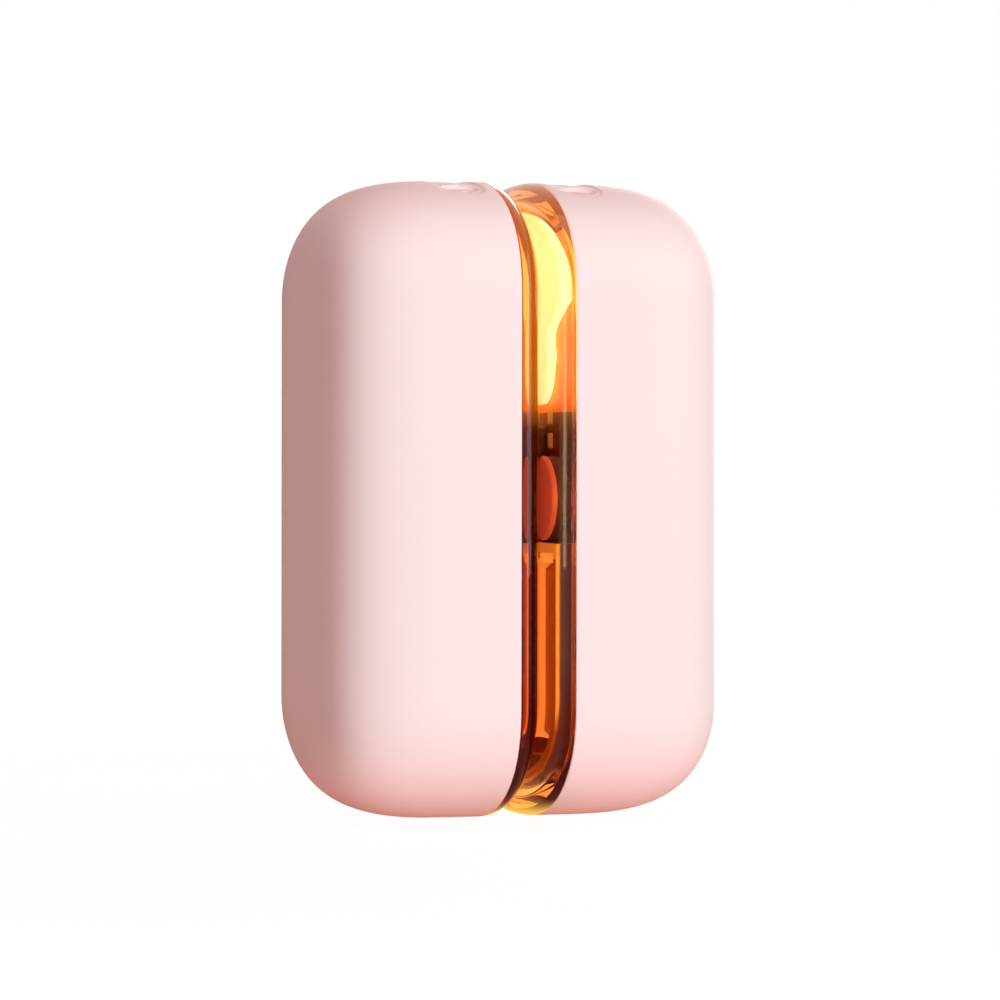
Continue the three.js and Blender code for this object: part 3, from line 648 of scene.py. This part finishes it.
def cellWrap():
    # shrink wrap of the cells, with faint pull lines along the height, painted shade on its sides, and
    # a painted glow
    look = {
        "face": "ffb468",
        "faceDeep": "f8a452",
        "paintedSideShade": "a04818",
        "sideShadeStart": 0.0134,
        "sideShadeEnd": 0.0142,
        "patch": 240,
        "patchDetail": 5.0,
        "patchRough": 0.6,
        "pullScale": (900.0, 900.0, 60.0),
        "pullDetail": 3.0,
        "pullStrength": 0.3,
        "pullDepth": 0.0001,
        "rough": 0.22,
        "roughSpread": 0.2,
        "glow": 0.7,
    }
    wrap = Finish(bpy.data.materials.new("cellWrap"))
    cloud = wrap.noise(look["patch"], look["patchDetail"], look["patchRough"])
    face = wrap.blend(cloud, rgb(look["face"]), rgb(look["faceDeep"]))
    # painted shade on the sides, away from the middle
    sideShaded = wrap.ramp(abs(wrap.axis("Y")), look["sideShadeStart"], look["sideShadeEnd"])
    body = wrap.blend(sideShaded, face, rgb(look["paintedSideShade"]))
    pull = wrap.streaks(look["pullScale"], look["pullDetail"])
    return wrap.close({
        "Base Color": body,
        "Roughness": cloud * look["roughSpread"] + look["rough"],
        # painted glow over the whole wrap
        "Emission Color": body,
        "Emission Strength": look["glow"],
        "Normal": wrap.bump(pull, look["pullStrength"], look["pullDepth"]),
    })


def heaterFilmFinish():
    # amber film over a winding copper track
    look = {
        "film": "c9781f",
        "track": "a4511a",
        "trackScale": 160.0,
        "trackBend": 1.5,
        "trackLevel": 0.55,
        "trackMetal": 0.6,
        "trackStrength": 0.3,
        "trackDepth": 0.00003,
        "grain": 900,
        "rough": 0.25,
        "roughSpread": 0.1,
    }
    film = Finish(bpy.data.materials.new("heaterFilm"))
    wave = film.add("ShaderNodeTexWave", {"wave_type": "BANDS", "bands_direction": "Z"}, {
        "Vector": film.place(), "Scale": look["trackScale"], "Distortion": look["trackBend"],
        "Detail": 1.0,
    })
    track = wave.above(look["trackLevel"])
    return film.close({
        "Base Color": film.blend(track, rgb(look["film"]), rgb(look["track"])),
        "Roughness": film.noise(look["grain"]) * look["roughSpread"] + look["rough"],
        "Metallic": track * look["trackMetal"],
        "Normal": film.bump(track, look["trackStrength"], look["trackDepth"]),
    })


def foamFinish():
    look = {
        "pore": "2b2b2e",
        "skin": "46464a",
        "poreScale": 2400.0,
        "poreStrength": 0.5,
        "poreDepth": 0.0001,
        "rough": 0.95,
    }
    foam = Finish(bpy.data.materials.new("foam"))
    pores = foam.add("ShaderNodeTexVoronoi", {"feature": "F1"}, {
        "Vector": foam.place(), "Scale": look["poreScale"],
    })
    return foam.close({
        "Base Color": foam.blend(pores, rgb(look["pore"]), rgb(look["skin"])),
        "Roughness": look["rough"],
        "Normal": foam.bump(pores, look["poreStrength"], look["poreDepth"]),
    })


finishes = {
    "soft_pink": softPink(),
    "amber_clear": clearAmber(),
    "milky_plastic": milkyPlastic("milkyPlastic", "f7f0e0", "efe5d0"),
    "bay_plastic": bayPlastic(),
    "panel": lampPanelFinish(),
    "circuit_board": circuitBoard(),
    "dark_chip": mouldedBlack("darkChip", "232326", "34343a"),
    "lamp": milkyPlastic("lampResin", "fff2c0", "ffe9a0", glow=2.0),
    "steel": plated("brightSteel", "d6d8db", "c2c5c9", 0.2, brushed=0.2),
    "gold": plated("contactGold", "e8c267", "d8ae50", 0.22),
    "black_plastic": mouldedBlack("blackPlastic", "151517", "202024"),
    "heater_film": heaterFilmFinish(),
    "cell_foil": cellWrap(),
    "red_wire": milkyPlastic("redWire", "b5201b", "9c1a17"),
    "black_wire": mouldedBlack("blackWire", "18181a", "242428"),
    "magnet_plate": magnetCoat(),
    "light_pipe": milkyPlastic("lightPipe", "e9f0f4", "dbe6ec"),
    "aluminium_sheet": plated("aluminiumSheet", "d8dadb", "c9ccce", 0.3, brushed=0.35),
    "foam": foamFinish(),
}
print("finishes made:", len(finishes))

# the nodes that keep their CAD shape, and the finish of each
carried = {
    "chassis": "bay_plastic",
    "main_board": "circuit_board",
    "controller_chip": "dark_chip",
    "boost_coil": "dark_chip",
    "night_lamp": "lamp",
    "socket_board": "circuit_board",
    "socket_flex": "heater_film",
    "front_cell": "cell_foil",
    "rear_cell": "cell_foil",
    "red_lead": "red_wire",
    "black_lead": "black_wire",
    "switch_body": "black_plastic",
    "switch_plunger": "milky_plastic",
    "heat_spreader": "aluminium_sheet",
    "heater_film": "heater_film",
    "thermistor": "black_plastic",
    "foam_pad": "foam",
    "screw_1": "steel",
    "screw_2": "steel",
    "screw_3": "steel",
}

for side in unitTurns:
    for node, finishName in carried.items():
        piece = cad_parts[f"{side}_{node}"]
        piece.data.materials.clear()
        piece.data.materials.append(finishes[finishName])
print("carried pieces dressed")

stations = outlineStations()


def palmShell(side):
    shell = {
        "front": 0.00405,
        "soft": 0.00018,  # rounding of the front rim
        "softSteps": 3,
        "innerStart": 0.0046,
        "fineStart": 0.0049,
        "fineEnd": 0.0129,
        "fineStep": 0.00015,
        "crownSteps": 44,
        "innerSteps": 18,
        "recessDepth": 0.00022,  # round the button
        "recessCentre": 0.0089,
        "recessWide": 0.0069,
        "recessLong": 0.031,
        "recessFlare": 0.0004,
        "scoopPlace": 0.0113,  # from the button, at both ends of the recess
        "scoopRadius": 0.0027,
        "scoopDepth": 0.0006,
        "scoopFlare": 0.0007,
        "buttonHole": 0.0027,
        "pipeHole": 0.0007,
        "pipePlace": (0.0079, 0.0111),
        "slotCentre": 0.00888,
        "slotWide": 0.00954,
        "slotThick": 0.00376,
        "upperCut": (0.08, 0.1),  # heights between which the upper holes are cut
        "lowerCut": (-0.005, 0.006),
        "sharp": 38,
    }
    front, soft, wall = shell["front"], shell["soft"], housing["wall"]
    inner = palmCurve(shell["innerStart"], wall, shell["innerSteps"])
    turns = quarter(shell["softSteps"])
    # each row of the profile: distance, inset, and whether the recess reaches it
    profile = [(x, inset, False) for x, inset in reversed(inner)]
    profile += [(front + soft * (1 - math.sin(a)), wall - soft * (1 - math.cos(a)), False)
                for a in turns]
    profile += [(front + soft * (1 - math.cos(a)), soft * (1 - math.sin(a)), False)
                for a in turns]
    x = shell["fineStart"]
    while x < shell["fineEnd"]:
        profile.append((x, palmInsetAt(x, 0), True))
        x += shell["fineStep"]
    profile += [(x, inset, True) for x, inset in palmCurve(shell["fineEnd"], 0, shell["crownSteps"])]

    def eased(share):
        share = min(max(share, 0.0), 1.0)
        return share * share * (3 - 2 * share)

    def recess(x, y):
        # depth at a place: shallow all along the recess, scooped out near its ends
        across = x - shell["recessCentre"]
        beyond = max(abs(y) - (shell["recessLong"] - shell["recessWide"]) / 2, 0.0)
        inside = shell["recessWide"] / 2 - math.hypot(across, beyond)
        within = shell["scoopRadius"] - math.hypot(across, abs(y) - shell["scoopPlace"])
        return (shell["recessDepth"] * eased(inside / shell["recessFlare"])
                + shell["scoopDepth"] * eased(within / shell["scoopFlare"]))

    def place(station, row):
        x, inset, outer = row
        y, z = outlinePlace(station, inset)
        if outer and station[0] == "end" and station[1] > 0:
            y, z = outlinePlace(station, inset + recess(x, y))
        # the outer skin ends at the flat foot, and the inner one a wall above it
        return x, y, max(z, 0.0 if outer or inset < wall / 2 else wall)

    mesh = wrapped(stations, profile, place)
    pipeX, pipeY = shell["pipePlace"]
    mesh = carved(mesh, [
        rod(shell["buttonHole"], *shell["upperCut"], shell["recessCentre"], 0),
        rod(shell["pipeHole"], *shell["upperCut"], pipeX, pipeY),
        rod(shell["slotThick"] / 2, *shell["lowerCut"], shell["slotCentre"], 0,
            stretch=shell["slotWide"] - shell["slotThick"]),
    ])
    return finish(mesh, side, "softShell", f"{side}_unit", finishes["soft_pink"], "soft_pink",
                  ["palm_shell"], sharp=shell["sharp"])


def clearCover(side):
    # cover with a rounded face, and a lip that enters the palm shell
    cover = {
        "face": 0.00015,
        "back": 0.004,
        "lipEnd": 0.0055,
        "lipInset": 0.0022,
        "lipWall": 0.0012,
        "inside": 0.00195,
        "innerInset": 0.0042,
        "innerRise": 0.002,
        "soft": 0.0001,
        "steps": 30,
        "innerSteps": 20,
        "sharp": 30,
    }
    last = math.acos(1 - (cover["back"] - cover["face"]) / housing["mateRise"])
    lipInner = cover["lipInset"] + cover["lipWall"]
    profile = mateCurve(cover["face"], housing["mateRise"], housing["mateInset"], 0, last,
                        cover["steps"])
    edge = profile[-1][1]
    soft = cover["soft"]
    profile[-1] = (cover["back"] - soft, edge)
    profile += [
        (cover["back"], edge + soft),
        (cover["back"], cover["lipInset"]),
        (cover["lipEnd"] - soft, cover["lipInset"]),
        (cover["lipEnd"], cover["lipInset"] + soft),
        (cover["lipEnd"], lipInner - soft),
        (cover["lipEnd"] - soft, lipInner),
    ]
    profile += reversed(mateCurve(cover["inside"], cover["innerRise"], cover["innerInset"],
                                  lipInner, math.pi / 2, cover["innerSteps"]))

    def place(station, row):
        x, inset = row
        y, z = outlinePlace(station, inset)
        return x, y, max(z, 0.0)

    mesh = wrapped(stations, profile, place)
    return finish(mesh, side, "amberCover", f"{side}_unit", finishes["amber_clear"], "amber_clear",
                  ["clear_cover"], sharp=cover["sharp"])


def powerButton(side):
    # dished button with a flange under the shell and a stem down to the switch
    button = {
        "centre": 0.0089,
        "radius": 0.0024,
        "top": 0.0919,
        "edge": 0.0004,
        "edgeSteps": 6,
        "dish": 0.00035,
        "dishSteps": 12,
        "flange": 0.003,
        "flangeTop": 0.0888,
        "flangeUnder": 0.088,
        "stem": 0.001,
        "stemEnd": 0.0869,
    }
    radius, top, edge, dish = button["radius"], button["top"], button["edge"], button["dish"]
    profile = [
        (0, button["stemEnd"]),
        (button["stem"], button["stemEnd"]),
        (button["stem"], button["flangeUnder"]),
        (button["flange"], button["flangeUnder"]),
        (button["flange"], button["flangeTop"]),
        (radius, button["flangeTop"]),
    ]
    profile += [(radius - edge * (1 - math.cos(a)), top - edge * (1 - math.sin(a)))
                for a in quarter(button["edgeSteps"])]
    inner = radius - edge
    profile += [(inner * (1 - a * 2 / math.pi), top - dish * math.sin(a) ** 2)
                for a in quarter(button["dishSteps"])[1:]]
    mesh = turned(profile, (button["centre"], 0, 0))
    return finish(mesh, side, "pressButton", f"{side}_button", finishes["soft_pink"], "soft_pink",
                  ["power_button"])


def indicatorPipe(side):
    # pale pin with a flange and a rounded tip
    low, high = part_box("right_indicator_pipe")
    pipe = {
        "place": (0.0079, 0.0112),
        "radius": 0.0006,
        "tip": 0.00045,
        "tipShare": 0.8,  # of its radius that stays flat
        "drop": 0.0005,  # of its tip under the node's
        "flange": 0.0014,
        "flangeThick": 0.0007,
        "tail": 0.0026,
        "steps": 40,
    }
    flangeUnder = low.z + pipe["tail"]
    top = high.z - pipe["drop"]
    profile = [
        (0, low.z),
        (pipe["radius"], low.z),
        (pipe["radius"], flangeUnder),
        (pipe["flange"], flangeUnder),
        (pipe["flange"], flangeUnder + pipe["flangeThick"]),
        (pipe["radius"], flangeUnder + pipe["flangeThick"]),
        (pipe["radius"], top - pipe["radius"]),
        (pipe["tip"], top - pipe["radius"] / 2),
        (pipe["tip"], top - pipe["tip"] / 3),
        (pipe["tip"] * pipe["tipShare"], top - pipe["tip"] / 8),
        (0, top),
    ]
    mesh = turned(profile, (*pipe["place"], 0), steps=pipe["steps"])
    return finish(mesh, side, "indicatorPipe", f"{side}_unit", finishes["light_pipe"], "light_pipe",
                  ["indicator_pipe"])


def lightPanel(side):
    # domed panel with a narrower lower end
    panel = {
        "front": 0.003,
        "back": 0.0049,
        "inset": 0.0042,
        "domeSteps": 40,
        "domeSpread": 1.4,  # crowds the steps near its widest place
        "neckTop": 0.069,
        "neckHalf": 0.0152,
        "neckSteps": 10,
        "cornerRound": 0.006,
        "cornerSteps": 12,
        "bottom": 0.0597,
        "soft": 0.0004,
        "softSteps": 4,
        "pegRadius": 0.0012,
        "pegSteps": 24,
        "pegs": ((-0.0125, 0.0665), (0.0125, 0.0665), (0.0, 0.0845)),
        "pegEnd": 0.0055,
    }
    centre = panel["neckHalf"] - panel["cornerRound"]
    half = []
    for angle in quarter(panel["cornerSteps"]):
        half.append((centre + panel["cornerRound"] * math.sin(angle),
                     panel["bottom"] + panel["cornerRound"] * (1 - math.cos(angle))))
    edge, domeFoot = outlinePlace(("end", 1, 0.0), panel["inset"])
    for i in range(panel["neckSteps"]):
        part = i / panel["neckSteps"]
        swell = (1 - math.cos(math.pi * part)) / 2
        half.append((panel["neckHalf"] + (edge - panel["neckHalf"]) * swell,
                     panel["neckTop"] + (domeFoot - panel["neckTop"]) * part))
    for i in range(panel["domeSteps"] + 1):
        angle = math.pi / 2 * (i / panel["domeSteps"]) ** panel["domeSpread"]
        half.append(outlinePlace(("end", 1, angle), panel["inset"]))
    ring = half + [(-y, z) for y, z in reversed(half[:-1])]
    points = []  # of the outline, each with its direction outwards
    for i, (y, z) in enumerate(ring):
        (y0, z0), (y1, z1) = ring[i - 1], ring[(i + 1) % len(ring)]
        run = math.hypot(y1 - y0, z1 - z0)
        points.append((y, z, (z1 - z0) / run, (y0 - y1) / run))

    soft = panel["soft"]
    turns = quarter(panel["softSteps"])
    profile = [(panel["front"] + soft * (1 - math.sin(a)), soft * (1 - math.cos(a)))
               for a in reversed(turns)]
    profile += [(panel["back"] - soft * (1 - math.sin(a)), soft * (1 - math.cos(a)))
                for a in turns]

    def place(point, row):
        y, z, outY, outZ = point
        x, inset = row
        return x, y - outY * inset, z - outZ * inset

    root = panel["back"] - soft
    peg = [(0, root), (panel["pegRadius"], root),
           (panel["pegRadius"], panel["pegEnd"]), (0, panel["pegEnd"])]
    pegs = [turned(peg, (0, y, z), panel["pegSteps"], lying=True) for y, z in panel["pegs"]]
    return finish(gathered([wrapped(points, profile, place)] + pegs), side, "lampPanel",
                  f"{side}_unit", finishes["panel"], "milky_plastic", ["light_panel"])


def magnetDisc(side, name, node):
    # round magnet with softened rims
    magnet = {
        "soft": 0.00035,
        "softSteps": 5,
        "steps": 72,
    }
    low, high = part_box(f"right_{node}")
    radius, soft = (high.z - low.z) / 2, magnet["soft"]
    turns = quarter(magnet["softSteps"])
    profile = [(0, low.x)]
    profile += [(radius - soft * (1 - math.sin(a)), low.x + soft * (1 - math.cos(a)))
                for a in turns]
    profile += [(radius - soft * (1 - math.cos(a)), high.x - soft * (1 - math.sin(a)))
                for a in turns]
    profile += [(0, high.x)]
    centre = (0, (low.y + high.y) / 2, (low.z + high.z) / 2)
    mesh = turned(profile, centre, magnet["steps"], lying=True)
    return finish(mesh, side, name, f"{side}_unit", finishes["magnet_plate"], "magnet_plate",
                  [node])


def chargingSocket(side):
    # drawn steel sleeve, and a blade with a row of contacts on each face
    socket = {
        "wall": 0.0003,
        "back": 0.0004,
        "lip": 0.00012,
        "sleeveSteps": 64,
        "bodyFoot": 0.0058,
        "bodySteps": 48,
        "bladeHalf": 0.00035,  # half its thickness
        "bladeWide": 0.00334,  # half its width
        "bladeRoot": 0.006,
        "bladeSoft": 0.0001,
        "contacts": 12,
        "pitch": 0.0005,
        "contactWide": 0.00026,
        "contactRise": 0.00005,
        "contactLow": 0.0013,
        "contactHigh": 0.0048,
    }
    wall, lip, steps = socket["wall"], socket["lip"], socket["sleeveSteps"]
    low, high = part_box("right_socket_shell")
    thick, wide = high.x - low.x, high.y - low.y
    x, radius, stretch = (low.x + high.x) / 2, thick / 2, wide - thick
    mouth = low.z - wall
    sleeve = carved(rod(radius, low.z, high.z, x, 0, steps, stretch), [
        rod(radius - wall, mouth, high.z - socket["back"], x, 0, steps, stretch),
        rod(radius - wall + lip, mouth, low.z + lip, x, 0, steps, stretch),
    ])
    finish(sleeve, side, "socketSleeve", f"{side}_unit", finishes["steel"], "steel",
           ["socket_shell"])

    low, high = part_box("right_socket_tongue")
    thick, wide = high.x - low.x, high.y - low.y
    body = rod(thick / 2, socket["bodyFoot"], high.z, x, 0, socket["bodySteps"], wide - thick)
    blade = block((x - socket["bladeHalf"], -socket["bladeWide"], low.z),
                  (x + socket["bladeHalf"], socket["bladeWide"], socket["bladeRoot"]),
                  socket["bladeSoft"])
    finish(gathered([body, blade]), side, "socketBlade", f"{side}_unit",
           finishes["black_plastic"], "black_plastic", ["socket_tongue"])

    rise, half = socket["contactRise"], socket["contactWide"] / 2
    strips = []
    for face in (-1, 1):
        near, away = sorted(x + face * (socket["bladeHalf"] + out) for out in (-rise, rise))
        for i in range(socket["contacts"]):
            y = (i - (socket["contacts"] - 1) / 2) * socket["pitch"]
            strips.append(block((near, y - half, socket["contactLow"]),
                                (away, y + half, socket["contactHigh"])))
    finish(gathered(strips), side, "socketContacts", f"{side}_unit", finishes["gold"], "steel")


for side in unitTurns:
    palmShell(side)
    clearCover(side)
    powerButton(side)
    indicatorPipe(side)
    print(side, "housing made")
    lightPanel(side)
    magnetDisc(side, "faceMagnetNear", "magnet_a")
    magnetDisc(side, "faceMagnetFar", "magnet_b")
    chargingSocket(side)
    print(side, "insides made")


view = {
    "azimuth": -17.474,
    "elevation": 0.559,
    "roll": -0.1006,
    "distance": 0.60511,
    "lens": 149.057,
    "sensor": 36.0,
    "clip": (0.01, 20.0),
    "aim": (0.0, 0.0, 0.0459),
    "shift": (0.00495, -0.00076),
}


def bearingTo(bearing, rise):
    # direction from the object to a camera or a lamp
    return Vector((math.sin(bearing) * math.cos(rise), -math.cos(bearing) * math.cos(rise),
                   math.sin(rise)))


def placeCamera():
    azimuth, elevation, roll = (math.radians(view[k]) for k in ("azimuth", "elevation", "roll"))
    back = bearingTo(azimuth, elevation)
    right = Vector((math.cos(azimuth), math.sin(azimuth), 0.0))
    up = back.cross(right)
    right, up = (right * math.cos(roll) - up * math.sin(roll),
                 right * math.sin(roll) + up * math.cos(roll))
    data = bpy.data.cameras.new("camera")
    data.lens = view["lens"]
    data.sensor_width = view["sensor"]
    data.shift_x, data.shift_y = view["shift"]
    data.clip_start, data.clip_end = view["clip"]
    camera = bpy.data.objects.new("camera", data)
    bpy.context.scene.collection.objects.link(camera)
    turn = Matrix((right, up, back)).transposed().to_4x4()
    camera.matrix_world = Matrix.Translation(Vector(view["aim"]) + back * view["distance"]) @ turn
    bpy.context.scene.camera = camera


studio = {
    "ambientColour": (1.0, 0.8, 0.78, 1.0),
    "ambient": 0.03,
    "floorHalf": 3.0,
    "paper": (0.62, 0.4, 0.38, 1.0),
    "nearShow": 0.86,  # share of the floor near the object that shows as the plain background
    "nearEnd": 0.12,  # the share grows to all of it from here to farStart
    "farStart": 0.45,
    "showStrength": 1.1,
    "bounceColour": (1.0, 0.5, 0.39, 1.0),
    "bounce": 0.29,  # warm light that the floor returns to the object
    "lamps": [
        # name, bearing and rise from the object in degrees, distance, width, height, power, colour
        ("keyLamp", -7.5, 4.0, 1.2, 0.8, 0.25, 11.4, (0.7, 0.95, 1.0)),
        ("sideLamp", 72.5, 12.0, 1.2, 0.8, 0.8, 5.5, (0.69, 0.96, 1.0)),
        ("topLamp", -17.5, 80.0, 1.2, 0.8, 0.8, 7.7, (1.0, 0.61, 0.59)),
        ("backLamp", 142.0, 12.0, 1.2, 0.8, 0.6, 9.0, (0.8, 0.96, 1.0)),
    ],
}


def looking(graph, *rays):
    # 1 for a ray of one of these kinds, else 0
    paths = [graph.add("ShaderNodeLightPath", output=ray) for ray in rays]
    total = paths[0]
    for path in paths[1:]:
        total = total.most(path)
    return total


def setStudio():
    sky = Finish(bpy.data.worlds.new("studio"))
    ambient = sky.add("ShaderNodeBackground", {}, {
        "Color": studio["ambientColour"], "Strength": studio["ambient"],
    })
    white = sky.add("ShaderNodeBackground", {}, {"Color": (1.0, 1.0, 1.0, 1.0), "Strength": 1.0})
    seen = looking(sky, "Is Camera Ray", "Is Glossy Ray", "Is Transmission Ray")
    mixed = sky.add("ShaderNodeMixShader", {}, {0: seen, 1: ambient, 2: white})
    sky.add("ShaderNodeOutputWorld", {}, {"Surface": mixed})
    bpy.context.scene.world = sky.owner

    mesh = bmesh.new()
    bmesh.ops.create_grid(mesh, x_segments=1, y_segments=1, size=studio["floorHalf"])
    data = bpy.data.meshes.new("floor")
    mesh.to_mesh(data)
    mesh.free()
    floor = bpy.data.objects.new("floor", data)
    bpy.context.scene.collection.objects.link(floor)
    paper = Finish(bpy.data.materials.new("palePaper"))
    reach = paper.add("ShaderNodeVectorMath", {"operation": "LENGTH"}, {
        0: paper.place(),
    }, output="Value")
    far = paper.ramp(reach, studio["nearEnd"], studio["farStart"])
    share = far * (1 - studio["nearShow"]) + studio["nearShow"]
    seen = share * looking(paper, "Is Camera Ray", "Is Transmission Ray")
    show = seen.most(far * looking(paper, "Is Glossy Ray"))
    matt = paper.add("ShaderNodeAddShader", {}, {
        0: paper.add("ShaderNodeBsdfDiffuse", {}, {"Color": studio["paper"]}),
        1: paper.add("ShaderNodeEmission", {}, {
            "Color": studio["bounceColour"], "Strength": studio["bounce"],
        }),
    })
    plain = paper.add("ShaderNodeEmission", {}, {"Strength": studio["showStrength"]})
    paper.add("ShaderNodeOutputMaterial", {}, {
        "Surface": paper.add("ShaderNodeMixShader", {}, {0: show, 1: matt, 2: plain}),
    })
    floor.data.materials.append(paper.owner)

    for name, bearing, rise, distance, width, height, power, colour in studio["lamps"]:
        lamp = bpy.data.lights.new(name, "AREA")
        lamp.shape = "RECTANGLE"
        lamp.size, lamp.size_y, lamp.energy, lamp.color = width, height, power, colour
        holder = bpy.data.objects.new(name, lamp)
        holder.visible_glossy = name != "keyLamp"  # no streak of it on the clear covers
        bpy.context.scene.collection.objects.link(holder)
        away = bearingTo(math.radians(bearing), math.radians(rise))
        place = Matrix.Translation(Vector(view["aim"]) + away * distance)
        holder.matrix_world = place @ (-away).to_track_quat("-Z", "Y").to_matrix().to_4x4()


placeCamera()
setStudio()
bpy.context.scene.view_settings.view_transform = "Standard"
print("camera and light set")

print("done")
